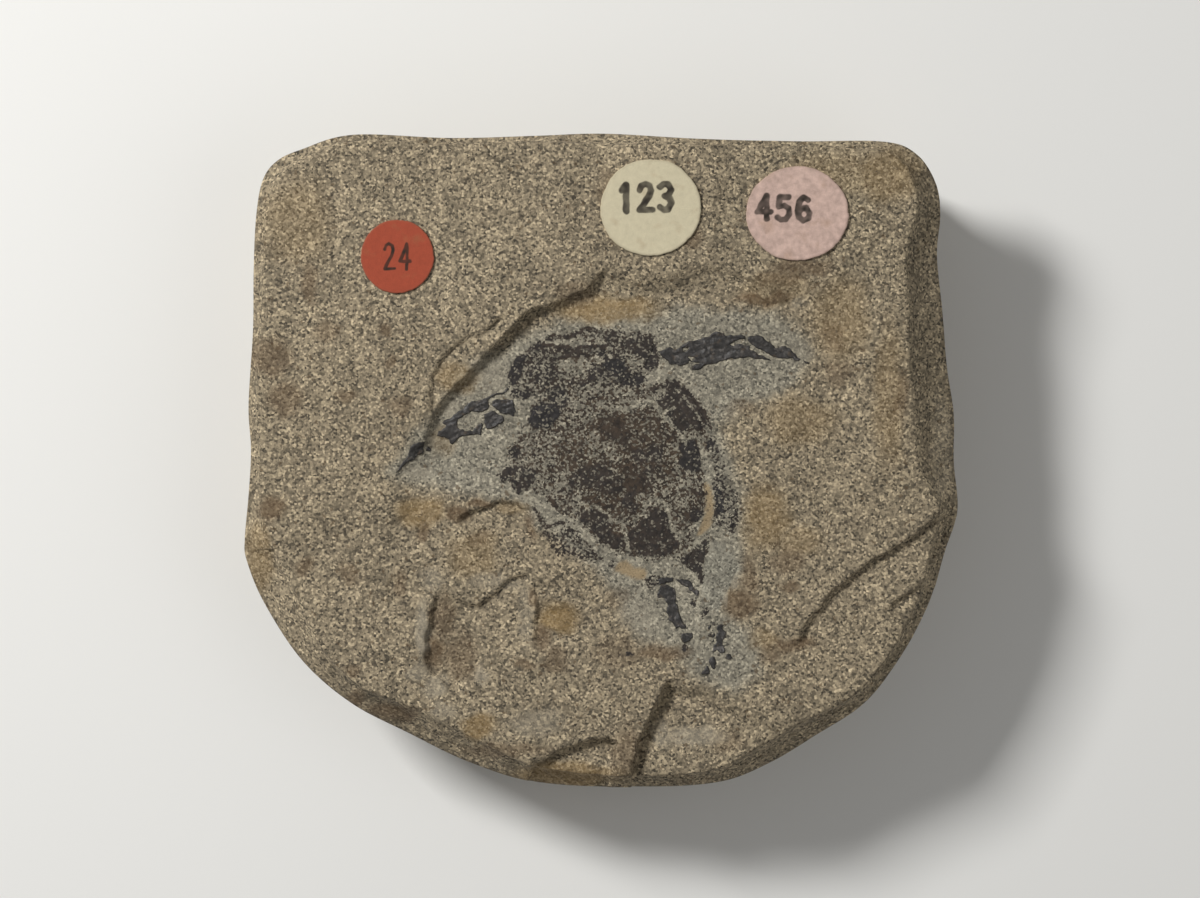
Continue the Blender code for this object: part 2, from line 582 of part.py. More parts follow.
def bone(name, outline, cell, seams, look, groups, slab):
    """A crust with the outline given, its top on the bedding plane, and its bed in the stone."""
    knots = np.array(outline, dtype=float)
    low = knots.min(axis=0) - 1.0
    size = knots.max(axis=0) + 1.0 - low
    cells = np.maximum(np.rint(size / cell).astype(int), 2)
    surface = stone_top(knots[:, 0], knots[:, 1])
    floor = surface.min() - BONE_THICKNESS

    def drape(points):
        x = low[0] + (points[:, 0] + 1) / 2 * size[0]
        y = low[1] + (points[:, 1] + 1) / 2 * size[1]
        top = stone_top(x, y) + BONE_PROUD - seam_grooves(x, y, seams)
        z = np.where(points[:, 2] > -0.5, top, floor)
        return np.column_stack([x, y, z]) * MM

    crust = grid_body(name, groups["parts"], int(cells[0]), int(cells[1]), 1, drape, look)
    above = surface.max() + 3.0
    shape = outline_prism(f"{name}_outline", outline, floor - 1.0, above, 0.0, groups["cutters"])
    cut(crust, as_cutter(shape), "INTERSECT")
    bed = outline_prism(f"{name}_bed", outline, floor - GAP, above, GAP, groups["cutters"])
    cut(slab, as_cutter(bed), "DIFFERENCE")
    return crust


def scale_outline(x, y, half_length, half_width, turn):
    """An egg-shaped loose scale."""
    angles = -2 * math.pi * np.arange(SCALE_SIDES) / SCALE_SIDES
    along = half_length * np.cos(angles)
    across = half_width * np.sin(angles) * (1 + 0.15 * np.cos(angles))
    lean = math.radians(turn)
    return list(zip(x + along * math.cos(lean) - across * math.sin(lean),
                    y + along * math.sin(lean) + across * math.cos(lean)))


def label(name, size, look, groups):
    """A round of paper, cut a little unevenly, that lies on the level stone."""
    x, y, half_width, half_height, uneven = size
    angles = -2 * math.pi * np.arange(LABEL_SIDES) / LABEL_SIDES
    wobble = 1 + uneven * soft_noise(angles * 2.5 + 20, angles * 0 + len(name), 31)
    outline = list(zip(x + half_width * wobble * np.cos(angles),
                       y + half_height * wobble * np.sin(angles)))
    level = stone_top(np.array([x]), np.array([y]))[0] + GAP
    paper = outline_prism(name, outline, level, level + LABEL_THICKNESS, 0.0, groups["parts"])
    paper.data.materials.append(look)
    return paper


def main():
    """Build the slab, its bones and its labels."""
    clear_scene()
    groups = {"parts": new_collection("Fossil fish slab"), "cutters": new_collection("Cutters")}
    stone = finish("Sandstone", STONE)
    bone_look = finish("Fossil bone", BONE)
    carapace_look = finish("Fossil armour plates", CARAPACE)

    slab = grid_body("slab", groups["parts"], TOP_CELLS, TOP_CELLS, SIDE_ROWS, slab_shape, stone)
    refine_ledges(slab.data)

    bone("head_shield", HEAD_OUTLINE, 1.1, HEAD_SEAMS, carapace_look, groups, slab)
    bone("trunk_armour", TRUNK_OUTLINE, 1.1, TRUNK_SEAMS, carapace_look, groups, slab)
    bone("right_arm", RIGHT_ARM_OUTLINE, 1.4, [], bone_look, groups, slab)
    bone("left_arm", LEFT_ARM_OUTLINE, 1.4, [], bone_look, groups, slab)
    bone("left_arm_tip", LEFT_ARM_TIP_OUTLINE, 1.6, [], bone_look, groups, slab)
    bone("left_flank_plate", LEFT_FLANK_OUTLINE, 1.6, [], carapace_look, groups, slab)
    bone("right_flank_plate", RIGHT_FLANK_OUTLINE, 1.6, [], carapace_look, groups, slab)
    bone("tail_strip", TAIL_STRIP_OUTLINE, 1.6, [], bone_look, groups, slab)
    bone("tail_branch", TAIL_BRANCH_OUTLINE, 1.6, [], bone_look, groups, slab)
    bone("tail_cluster", TAIL_CLUSTER_OUTLINE, 1.6, [], bone_look, groups, slab)
    for number, place in enumerate(TAIL_SCALES, start=1):
        bone(f"tail_scale_{number}", scale_outline(*place), 1.6, [], bone_look, groups, slab)

    papers = {"label_orange": ("Orange paper", ORANGE_PAPER),
              "label_cream": ("Cream paper", CREAM_PAPER),
              "label_pink": ("Pink mottled paper", PINK_PAPER)}
    for name, size in LABELS.items():
        label(name, size, finish(*papers[name]), groups)


main()
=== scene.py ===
"""Looks of a fossil of a small armoured fish, Pterichthyodes, on a broken slab of sandstone.

The slab, the thin crusts of bone let into it and three round paper labels are built as dense
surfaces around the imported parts.  Frame: metres, X to the right and Y to the top of the slab
as it is read, Z up from the underside.
"""

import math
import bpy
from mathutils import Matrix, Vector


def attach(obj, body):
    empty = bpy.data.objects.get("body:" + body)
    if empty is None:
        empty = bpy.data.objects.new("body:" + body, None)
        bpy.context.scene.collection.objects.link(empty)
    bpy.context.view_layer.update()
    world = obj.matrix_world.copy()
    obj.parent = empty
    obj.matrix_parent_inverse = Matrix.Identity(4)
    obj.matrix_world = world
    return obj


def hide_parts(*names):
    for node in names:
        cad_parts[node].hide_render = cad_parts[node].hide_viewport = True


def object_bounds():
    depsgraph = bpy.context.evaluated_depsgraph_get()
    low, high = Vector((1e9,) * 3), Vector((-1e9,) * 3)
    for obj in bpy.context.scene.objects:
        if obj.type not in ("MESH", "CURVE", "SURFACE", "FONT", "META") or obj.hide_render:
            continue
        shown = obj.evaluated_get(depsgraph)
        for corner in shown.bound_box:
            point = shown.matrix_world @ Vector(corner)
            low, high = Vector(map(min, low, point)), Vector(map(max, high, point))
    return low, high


bl_info = {
    "name": "Fossil fish slab",
    "version": (1, 0, 0),
    "blender": (4, 5, 0),
    "location": "3D View > Sidebar > Fossil fish",
    "description": "Dense sandstone, bone and paper surfaces of a fossil fish slab",
    "category": "Object",
}

import bpy
import numpy as np
from bpy.props import FloatProperty, FloatVectorProperty, PointerProperty
from mathutils import Vector

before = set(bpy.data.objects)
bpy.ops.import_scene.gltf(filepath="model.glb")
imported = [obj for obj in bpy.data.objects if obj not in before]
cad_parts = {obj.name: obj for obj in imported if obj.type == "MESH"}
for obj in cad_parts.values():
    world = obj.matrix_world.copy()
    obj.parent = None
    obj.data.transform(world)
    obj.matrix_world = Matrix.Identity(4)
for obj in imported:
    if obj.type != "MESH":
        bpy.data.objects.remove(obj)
CAD_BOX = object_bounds()

# Sizes are in millimetres, and MM turns them to metres.
MM = 0.001
BED_HEIGHT = 20.0          # bedding plane that the fish lies on
SIDE_FOOT_HEIGHT = 1.7     # where the broken side turns in to the underside
LEDGE_HALF_WIDTH = 0.14    # a ledge falls over twice this width

# How finely the slab is cut into faces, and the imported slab's count, which centres its outline.
TOP_CELLS = 270
PACKED_CELLS = 38
RIM_ROWS = 9
SIDE_ROWS = 10
FOOT_ROWS = 3

SLAB_OUTLINE = [
    (-37.6, 39.2, 1.4, 1.4), (-31.1, 41.0, 1.0, 1.0), (-19.0, 40.6, 0.9, 0.8),
    (-8.0, 40.9, 1.0, 1.2), (0.5, 41.2, 1.6, 2.0), (12.4, 40.5, 0.9, 0.9),
    (24.9, 40.2, 0.8, 0.9), (35.6, 40.2, 1.5, 1.6), (39.8, 38.6, 2.4, 2.4),
    (42.2, 35.0, 3.0, 2.8), (42.8, 31.0, 3.2, 3.0), (42.4, 25.9, 4.2, 3.4),
    (43.1, 19.0, 4.6, 3.8), (43.7, 12.0, 5.0, 4.0), (44.6, 6.0, 5.4, 4.2),
    (44.6, 0.0, 4.8, 4.0), (45.0, -6.3, 2.6, 3.0), (43.4, -11.5, 2.0, 2.6),
    (41.4, -18.0, 1.7, 2.6), (37.8, -24.8, 1.6, 2.6), (33.2, -30.6, 1.8, 2.8),
    (27.0, -34.8, 2.6, 4.2), (21.4, -38.2, 2.8, 4.6), (14.9, -40.6, 2.0, 3.4),
    (4.6, -41.2, 1.6, 2.6), (-7.7, -40.7, 2.2, 3.4), (-16.5, -38.2, 3.4, 4.6),
    (-24.3, -34.5, 3.6, 5.0), (-31.6, -30.6, 2.8, 4.2), (-37.8, -25.2, 3.4, 3.8),
    (-42.6, -18.0, 4.6, 4.2), (-44.8, -12.6, 4.2, 4.0), (-45.0, -9.8, 3.0, 3.2),
    (-44.4, -4.0, 1.5, 1.9), (-44.1, 1.4, 1.3, 1.7), (-44.4, 7.0, 1.2, 1.6),
    (-43.8, 16.5, 1.2, 1.5), (-43.7, 24.0, 1.3, 1.5), (-43.4, 30.6, 1.5, 1.6),
    (-42.6, 35.2, 1.7, 1.7), (-40.8, 37.7, 1.7, 1.6),
]

# Edge of the shallow basin that the fish was cleared out of, clockwise.
BASIN_EDGE = [
    (-24.7, -1.1), (-22.2, 2.1), (-20.8, 5.5), (-18.8, 8.7), (-16.1, 11.7), (-13.5, 14.1),
    (-10.9, 17.0), (-8.5, 18.8), (-5.2, 19.8), (-2.1, 21.3), (0.4, 23.7), (3.1, 26.0),
    (8.0, 25.6), (12.4, 24.2), (19.0, 22.9), (22.7, 21.8), (24.5, 20.3), (26.2, 18.3),
    (27.9, 15.2), (29.2, 13.1), (31.0, 8.0), (31.5, -2.0), (27.0, -12.0), (20.0, -21.0),
    (11.0, -29.0), (-2.0, -29.0), (-14.0, -24.0), (-22.0, -15.0), (-26.0, -8.0),
]

# Heights of the layer outside the basin above the bedding plane: x, y, height.
OUTER_LEVELS = [
    (-30.0, 25.0, 1.6), (-14.0, 22.0, 1.7), (-24.0, 9.0, 1.3), (-34.0, 0.0, 0.8),
    (-5.0, 34.0, 1.4), (10.0, 33.0, 1.1), (25.0, 31.0, 0.9), (36.0, 20.0, 0.7),
    (34.0, 5.0, 0.35), (36.0, -6.0, 0.2), (-32.0, -16.0, 0.2), (-10.0, -32.0, 0.0),
    (20.0, -30.0, 0.0),
]

# Share of the basin's edge that is a sharp ledge and not a slow slope: x, y, share.
EDGE_SHARPNESS = [
    (-12.0, 16.0, 1.0), (-18.0, 10.0, 0.8), (-3.0, 21.0, 0.7), (5.0, 26.0, 0.05),
    (14.0, 24.0, 0.3), (23.0, 22.0, 0.5), (28.0, 15.0, 0.3), (31.0, 2.0, 0.0),
    (-25.0, -2.0, 0.1), (0.0, -30.0, 0.0),
]
SLOPE_WIDTH = 5.0

# Ledges: the stone is lower on the right of the line, and comes back to its level over
# the reach.  Each has its line, its depth, its reach and how far its ends fade.
LEDGES = {
    "terrace": ([(-21.3, 4.2), (-21.4, 7.5), (-20.6, 11.6), (-18.6, 14.2), (-14.6, 16.6),
                 (-11.4, 18.4)], 0.55, 3.5, 2.0),
    "right_layer": ([(24.0, -24.0), (26.0, -19.8), (29.8, -15.9), (33.4, -12.8),
                     (36.2, -11.4), (40.0, -8.8), (45.5, -4.0)], 0.85, 40.0, 3.0),
    "right_crack": ([(35.8, -18.6), (38.2, -16.9), (40.8, -15.3), (44.5, -13.2)],
                    0.6, 9.0, 1.5),
    "bottom_scar": ([(3.6, -42.0), (4.0, -38.4), (4.8, -35.6), (5.8, -32.7), (7.3, -29.9),
                     (8.6, -26.9)], 1.9, 8.0, 2.0),
    "bottom_step": ([(-13.0, -41.5), (-9.0, -38.4), (-5.2, -36.4), (-0.2, -34.9),
                     (2.6, -35.6)], 1.3, 30.0, 1.5),
    "hollow_upper": ([(-18.6, -8.2), (-16.3, -6.4), (-14.4, -5.5), (-12.7, -4.9),
                      (-10.4, -5.4), (-9.0, -7.4), (-8.4, -10.4)], 0.7, 7.0, 1.5),
    "hollow_middle": ([(-18.4, -17.2), (-16.3, -18.0), (-14.3, -17.3), (-12.7, -15.8),
                       (-10.9, -14.7), (-8.4, -14.2)], 0.6, 6.0, 1.5),
    "hollow_right": ([(-8.4, -23.6), (-8.2, -19.0), (-8.4, -14.8)], 0.5, 5.0, 1.5),
    "hollow_left": ([(-17.6, -29.8), (-20.2, -27.4), (-22.1, -25.0), (-21.6, -20.6),
                     (-20.4, -15.6)], 0.8, 5.5, 2.0),
}

# Slow swells of the split face: size across and height, with the seed of each.
SWELLS = [(15.0, 0.30, 11), (6.0, 0.16, 12)]
CALM_OVER_FISH = 0.3       # share of the swells that is left on the bedding plane
EDGE_WEAR = 0.15           # how far the worn upper edge lies below the face beside it

# The broken sides: their lean, the breaks in them (size, depth, drift down the side and
# seed), the layers that stand out, and how far the underside lies inside the silhouette.
SIDE_TAPER = 0.8
SIDE_BREAKS = [(9.0, 1.5, 3.0, 23), (3.8, 0.9, 9.0, 24)]
BEDDING_DEPTH = 0.7
BEDDING_LAYERS = 6.0
FOOT_INSET = 3.6
TRUNK_DOME = (0.5, -1.0, 13.0, 0.3)     # x, y, radius and height of the low dome

# Paper labels: x, y of the middle, half width and half height, and the paper's unevenness.
LABELS = {
    "label_orange": (-25.5, 25.6, 4.67, 4.67, 0.010),
    "label_cream": (6.2, 31.7, 6.40, 6.21, 0.018),
    "label_pink": (24.6, 31.0, 6.53, 6.02, 0.012),
}
LABEL_FLAT_MARGIN = 1.8    # the stone is level under a label and this far around it
LABEL_THICKNESS = 0.30
LABEL_CELLS = 132          # cells across a label

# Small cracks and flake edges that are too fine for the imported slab: line, depth, reach, fade.
SMALL_MARKS = [
    ([(-25.2, -17.9), (-26.1, -17.8), (-27.0, -16.3), (-26.7, -15.1), (-25.8, -14.2)],
     0.35, 2.0, 1.0),
    ([(-26.1, -7.4), (-25.5, -8.0), (-24.4, -6.8), (-23.2, -7.7), (-22.6, -9.2), (-21.7, -10.1)],
     0.22, 1.6, 0.8),
    ([(-22.0, -3.0), (-20.5, -4.5), (-19.9, -5.1)], 0.25, 0.5, 0.5),
    ([(-16.7, 27.4), (-15.5, 28.1), (-14.3, 27.7), (-12.8, 26.2)], 0.13, 1.5, 0.8),
    ([(-41.5, 25.8), (-39.7, 25.9), (-38.6, 25.5)], 0.28, 0.6, 0.5),
    ([(-28.8, 17.9), (-27.6, 16.1), (-27.0, 16.0)], 0.25, 0.7, 0.4),
    ([(17.9, 19.7), (21.8, 20.0), (24.2, 20.2)], 0.3, 1.4, 0.8),
    ([(26.8, 17.0), (28.3, 15.0), (29.2, 13.2)], 0.15, 1.2, 0.8),
    ([(16.5, -27.3), (18.2, -26.7), (20.0, -25.8)], 0.2, 1.0, 0.6),
    ([(7.3, -32.0), (9.1, -31.1)], 0.25, 0.7, 0.4),
    ([(-8.4, -17.8), (-6.0, -18.4), (-3.9, -18.7), (-3.0, -20.5), (-2.4, -21.6)], 0.35, 2.5, 0.8),
    ([(22.4, -36.2), (24.5, -35.3), (26.5, -34.4), (28.3, -33.5)], 0.5, 1.5, 0.8),
    ([(-6.4, -4.7), (-5.3, -6.4), (-4.4, -6.9)], 0.15, 0.5, 0.4),
    ([(3.8, -16.7), (4.5, -16.1), (5.2, -15.5)], 0.15, 0.4, 0.3),
]

# Lumps of the grain on every face of the stone: size, height and seed.
LUMPS = [(2.6, 0.085, 51), (1.2, 0.05, 52), (0.6, 0.032, 53)]
LEDGE_RAGGED = [(1.5, 0.28, 61), (0.5, 0.10, 63)]      # size, shift and seed
STAIN_RAGGED = [(2.2, 0.55, 65), (0.8, 0.25, 67)]
FILM_RAGGED = [(0.9, 0.16, 71), (0.35, 0.08, 73)]
SIDE_CHIPS = [(3.2, 0.55, 81), (1.3, 0.30, 82)]
RIM_CHIPS = [(1.7, 0.38, 83), (0.8, 0.20, 84)]
RIM_MARGIN = 0.08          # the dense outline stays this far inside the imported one

# Clean grey stone round the fish.
GREY_HALO = [
    (-21.1, 6.0), (-16.9, 12.0), (-11.0, 14.9), (-5.1, 17.9), (2.6, 19.1), (14.4, 19.1),
    (21.0, 18.6), (24.5, 16.7), (26.9, 13.2), (24.5, 9.7), (18.6, 7.3), (15.0, 4.5), (17.5, -4.5),
    (18.0, -9.5), (17.9, -13.4), (15.1, -18.2), (19.8, -22.3), (20.3, -26.5), (16.2, -28.9),
    (11.4, -27.1), (9.2, -23.5), (4.4, -22.3), (2.6, -18.2), (-0.4, -14.1), (-5.1, -10.5),
    (-10.0, -5.5), (-20.5, -3.4), (-25.9, -2.3), (-27.2, -1.2),
]
CLEAN_PATCH = [
    (14.1, -9.8), (15.6, -10.4), (16.8, -11.9), (17.6, -13.4), (16.5, -15.1), (15.6, -16.9),
    (14.7, -19.3), (12.9, -18.1), (12.5, -16.3), (12.8, -13.4), (13.4, -11.3),
]
TAN_PATCHES = [
    [(12.98, -2.59), (13.73, -3.23), (14.16, -4.96), (14.16, -6.69), (13.73, -8.2), (12.65, -9.29),
     (12.0, -9.39), (12.44, -8.2), (12.98, -6.69), (13.13, -4.96), (12.91, -3.67)],
    [(2.2, -12.7), (3.2, -12.5), (4.2, -13.4), (5.4, -13.5), (5.8, -14.1), (5.4, -14.9),
     (4.2, -14.8), (2.8, -14.2), (1.6, -13.7)],
]

# Stains of the stone, with painted shade in the brown ones: x, y, half width, half height and strength.
STAINS_AND_LEDGE_SHADE = {
    # Brown: partly iron stains, partly painted shade at the foot of ledges, cracks and hollow edges.
    "brown": [
        (-41.5, 13.2, 2.6, 2.2, 0.6), (-39.8, 7.9, 2.2, 2.0, 0.6), (-36.7, 22.0, 0.9, 2.2, 0.6),
        (-34.4, 16.4, 1.8, 1.3, 0.5), (-27.4, 16.4, 0.7, 0.7, 0.7), (-26.1, 12.6, 0.8, 0.9, 0.6),
        (-25.3, 7.0, 1.5, 1.2, 0.5), (-31.8, 8.2, 1.0, 0.8, 0.6), (-41.3, -5.9, 1.6, 1.4, 0.8),
        (-37.1, -13.3, 1.2, 1.0, 0.6), (-31.8, -13.9, 1.1, 1.2, 0.5), (-22.3, -8.9, 0.9, 1.2, 0.7),
        (-17.8, -6.5, 1.4, 1.0, 0.8), (-15.2, -5.4, 1.5, 0.6, 0.8), (-8.7, -8.2, 0.8, 1.6, 0.6),
        (-15.4, -9.8, 1.2, 0.8, 0.4), (-25.6, -15.6, 0.9, 1.8, 0.5), (-19.9, -19.5, 1.6, 2.4, 0.55),
        (-21.0, -24.0, 1.3, 2.4, 0.75), (-17.8, -24.5, 2.0, 3.0, 0.5), (-7.5, -22.2, 1.2, 1.4, 0.7),
        (-5.7, -24.9, 1.5, 1.4, 0.5), (-9.8, -25.5, 1.4, 0.6, 0.6), (-30.9, -29.9, 1.2, 1.2, 0.7),
        (-26.5, -31.8, 3.0, 1.2, 0.7), (-31.2, -26.1, 0.9, 0.9, 0.6), (-8.4, -17.4, 0.8, 1.0, 0.6),
        (17.6, -17.8, 1.8, 1.8, 0.75), (18.6, -14.0, 1.0, 2.4, 0.6), (23.5, -12.8, 1.8, 1.4, 0.5),
        (23.6, -15.9, 0.8, 0.7, 0.7), (24.2, -22.8, 2.2, 1.0, 0.75), (21.4, -24.4, 1.3, 1.2, 0.5),
        (20.5, 20.4, 3.2, 0.7, 0.75), (22.5, 23.0, 2.6, 1.2, 0.6), (24.8, 24.6, 3.4, 1.2, 0.65),
        (28.9, 15.6, 1.2, 1.6, 0.4), (29.8, 10.8, 1.6, 1.4, 0.45), (17.6, 6.7, 1.8, 0.9, 0.4),
        (11.6, 27.6, 1.3, 1.4, 0.55), (38.0, 7.9, 1.0, 2.6, 0.45), (0.5, 34.0, 1.4, 2.2, 0.4),
        (2.0, -17.0, 1.6, 1.4, 0.4), (7.8, -23.8, 3.4, 0.8, 0.7), (2.0, -24.0, 3.0, 1.6, 0.35),
        (-3.0, 21.0, 2.0, 1.2, 0.4), (-12.0, -36.5, 5.0, 0.9, 0.5),
        (3.2, -36.5, 1.4, 3.0, 0.5), (16.0, -35.5, 2.0, 1.4, 0.35),
    ],
    "gold": [
        (1.0, 19.0, 5.5, 1.6, 0.8), (-18.0, 10.4, 2.6, 1.6, 0.6), (-22.5, -6.4, 2.6, 1.6, 0.7),
        (-16.0, -12.0, 3.0, 2.6, 0.4), (-5.4, -19.6, 2.4, 1.6, 0.9), (-15.5, -33.2, 2.0, 1.6, 0.8),
        (-38.0, 30.0, 4.0, 5.0, 0.3), (-4.0, -39.5, 6.0, 1.4, 0.7), (25.0, -10.1, 2.8, 1.8, 0.4),
        (20.8, -7.0, 2.8, 3.6, 0.6), (25.0, 5.0, 4.0, 3.0, 0.4), (30.0, 18.0, 3.0, 5.0, 0.4),
        (22.0, 21.5, 4.0, 2.0, 0.3), (36.0, 8.0, 2.0, 8.0, 0.4), (-43.0, -12.0, 1.5, 4.0, 0.5),
        (30.0, 36.0, 6.0, 2.5, 0.3), (-11.0, -6.0, 2.0, 0.8, 0.4), (36.0, 36.0, 4.0, 3.0, 0.5),
        (-20.0, 2.5, 1.6, 2.0, 0.4), (20.5, -22.5, 1.6, 1.4, 0.4),
    ],
    "pale": [
        (-22.3, -21.6, 0.8, 3.6, 0.9), (-22.6, -26.6, 1.5, 0.9, 0.55), (-20.6, -28.4, 1.5, 1.0, 0.6),
        (-15.0, -27.1, 1.0, 1.2, 0.6), (-19.9, -31.4, 1.4, 1.2, 0.5), (-8.1, -32.9, 3.2, 1.6, 0.5),
        (-21.4, -15.1, 1.4, 1.4, 0.45), (11.7, -34.7, 3.4, 1.2, 0.75), (7.6, -34.1, 1.2, 1.6, 0.6),
        (-13.0, -15.4, 3.4, 1.0, 0.4), (-23.0, -1.2, 1.6, 0.8, 0.5), (-14.0, 10.6, 2.2, 2.4, 0.45),
        (-9.6, -19.5, 0.8, 3.6, 0.35), (17.0, -15.0, 0.3, 0.8, 0.8), (16.0, -17.0, 0.3, 0.9, 0.8),
        (-19.2, 6.5, 1.4, 1.2, 0.5), (25.0, 13.6, 1.6, 1.2, 0.35), (43.0, 2.0, 1.2, 6.0, 0.35),
        (4.5, -20.0, 2.4, 2.0, 0.35), (25.0, 19.8, 0.8, 0.6, 0.5),
    ],
}

# Film of bone on the stone: outline, share covered, width of its edge, and how brown it is.
FILM_AREAS = [
    ([(-9.3, 5.2), (-8.7, 6.9), (-6.8, 8.4), (-4.6, 9.1), (-1.8, 9.3), (1.2, 8.9), (3.8, 9.3),
      (6.2, 9.7), (9.4, 10.2), (11.1, 9.1), (13.0, 6.5), (13.8, 4.6), (13.6, 1.5), (12.9, -1.9),
      (13.1, -3.7), (13.2, -5.0), (12.9, -6.9), (11.8, -8.4), (12.0, -9.9), (11.6, -11.0),
      (9.8, -12.1), (6.8, -12.7), (4.7, -12.3), (2.1, -11.5), (-0.1, -10.4), (-1.8, -8.9),
      (-3.1, -7.6), (-4.6, -6.9), (-5.9, -5.8), (-6.8, -4.8), (-8.3, -3.7), (-8.5, -1.9),
      (-10.0, -1.1), (-11.6, 0.0), (-11.6, 1.5), (-10.0, 3.7)], 0.46, 0.7, 0.7),
    ([(-1.2, 5.2), (1.0, 6.1), (3.8, 6.3), (6.2, 6.7), (7.7, 5.2), (9.4, 3.5), (9.8, 1.5),
      (9.4, -0.6), (9.6, -2.8), (8.6, -3.7), (7.7, -4.8), (6.2, -4.8), (5.1, -6.0), (3.4, -6.9),
      (1.2, -6.7), (-0.5, -5.7), (-1.8, -5.7), (-2.7, -4.5), (-3.6, -3.2), (-3.8, -1.5),
      (-5.3, -0.2), (-5.7, 1.5), (-4.2, 3.7), (-1.8, 4.6)], 0.72, 0.9, 0.85),
    ([(6.2, 8.7), (7.7, 9.8), (9.4, 10.1), (10.9, 9.0), (12.1, 7.7), (13.0, 6.3), (13.5, 4.8),
      (12.3, 3.7), (11.4, 4.2), (10.2, 3.5), (9.5, 3.8), (8.6, 5.0), (7.4, 6.3), (6.4, 7.7)],
     0.9, 0.2, 0.35),
    ([(10.5, 2.6), (11.8, 2.6), (12.3, 1.5), (12.7, 0.0), (12.5, -1.1), (11.6, -1.4), (10.1, -1.2),
      (9.6, 0.4), (9.7, 1.8)], 0.9, 0.3, 0.1),
    ([(-2.5, -6.7), (-1.0, -5.9), (0.8, -6.9), (1.4, -8.2), (2.8, -8.9), (3.1, -11.2), (1.9, -11.1),
      (0.1, -9.9), (-1.3, -8.6), (-2.5, -7.6)], 0.86, 0.2, 0.35),
    ([(3.4, -9.3), (4.0, -8.4), (5.5, -7.1), (6.2, -6.0), (7.4, -5.7), (8.3, -6.9), (8.9, -8.6),
      (9.7, -9.3), (9.8, -10.6), (9.0, -11.5), (6.8, -12.2), (4.9, -11.7), (3.6, -10.8)],
     0.9, 0.2, 0.4),
    ([(8.8, -3.9), (10.9, -3.2), (12.8, -3.7), (13.0, -5.4), (12.0, -6.9), (10.5, -8.2), (9.3, -8.6),
      (8.6, -6.7), (7.9, -5.0)], 0.68, 0.2, 0.7),
    ([(9.8, -12.3), (11.8, -10.8), (13.5, -9.3), (13.2, -11.2), (12.8, -13.0), (12.7, -14.3),
      (12.3, -15.0), (12.0, -14.3), (10.9, -13.4)], 0.85, 0.15, 0.3),
    ([(-9.2, 4.8), (-8.9, 6.5), (-7.2, 7.4), (-5.7, 6.9), (-4.9, 6.5), (-5.3, 5.4), (-6.4, 4.3),
      (-8.1, 4.1)], 0.86, 0.4, 0.0),
    ([(-13.1, -1.6), (-11.6, -0.6), (-9.8, -0.6), (-8.1, -1.3), (-8.1, -2.2), (-9.4, -3.7),
      (-10.3, -4.2), (-11.6, -2.8), (-12.6, -2.6)], 0.74, 0.3, 0.3),
    ([(14.0, 3.0), (14.8, 2.0), (15.9, -1.9), (17.2, -4.5), (17.5, -8.2), (16.5, -9.0),
      (14.8, -7.9), (14.2, -8.4), (14.4, -6.3), (14.2, -2.8)], 0.42, 0.5, 0.3),
    ([(14.0, -2.6), (14.6, -3.2), (15.5, -4.8), (15.7, -5.8), (14.9, -7.1), (14.4, -6.3),
      (14.3, -4.5)], 0.84, 0.2, 0.0),
    ([(-6.8, -8.9), (-3.8, -8.2), (-2.7, -9.3), (-1.0, -11.2), (-0.1, -12.3), (-1.8, -12.5),
      (-4.6, -11.9), (-5.7, -11.0)], 0.42, 0.4, 0.4),
    ([(-11.8, 10.4), (-11.5, 12.0), (-10.7, 12.8), (-9.6, 13.6), (-8.9, 14.4), (-7.3, 15.0),
      (-6.5, 15.7), (-4.9, 15.5), (-3.1, 16.2), (-1.9, 16.5), (0.9, 16.5), (2.3, 16.5),
      (3.3, 15.9), (4.5, 16.4), (6.1, 16.1), (7.0, 15.1), (7.1, 13.8), (7.3, 12.6), (6.3, 11.4),
      (5.3, 10.6), (3.7, 9.6), (2.5, 8.8), (0.1, 9.4), (-1.9, 9.0), (-4.3, 8.8), (-5.9, 8.2),
      (-8.9, 7.8), (-10.7, 8.2), (-11.5, 9.2)], 0.52, 0.3, 0.45),
    ([(-11.8, 10.4), (-11.5, 12.0), (-10.8, 12.7), (-9.8, 13.2), (-9.1, 13.2), (-9.6, 11.8),
      (-10.0, 10.8), (-10.6, 9.8), (-10.9, 8.8), (-11.6, 9.3)], 0.9, 0.15, 0.1),
    ([(-8.9, 14.4), (-7.5, 15.1), (-7.3, 14.4), (-7.7, 13.6), (-8.0, 13.1), (-8.5, 13.8)],
     0.88, 0.12, 0.2),
    ([(0.9, 16.5), (1.7, 16.6), (2.4, 16.2), (2.1, 15.0), (1.3, 14.7), (0.8, 15.2)], 0.8, 0.2, 0.3),
    ([(3.1, 15.0), (4.1, 15.4), (5.3, 15.5), (6.5, 15.2), (7.0, 14.2), (6.9, 12.8), (5.9, 12.6),
      (4.9, 13.2), (3.7, 13.6), (3.1, 14.2)], 0.76, 0.3, 0.3),
    ([(-7.1, 15.0), (-4.9, 15.2), (-2.7, 15.6), (0.1, 15.4), (0.7, 14.6), (-1.1, 14.8),
      (-3.1, 14.3), (-5.1, 14.6), (-6.9, 14.5)], 0.08, 0.15, 0.6),
]
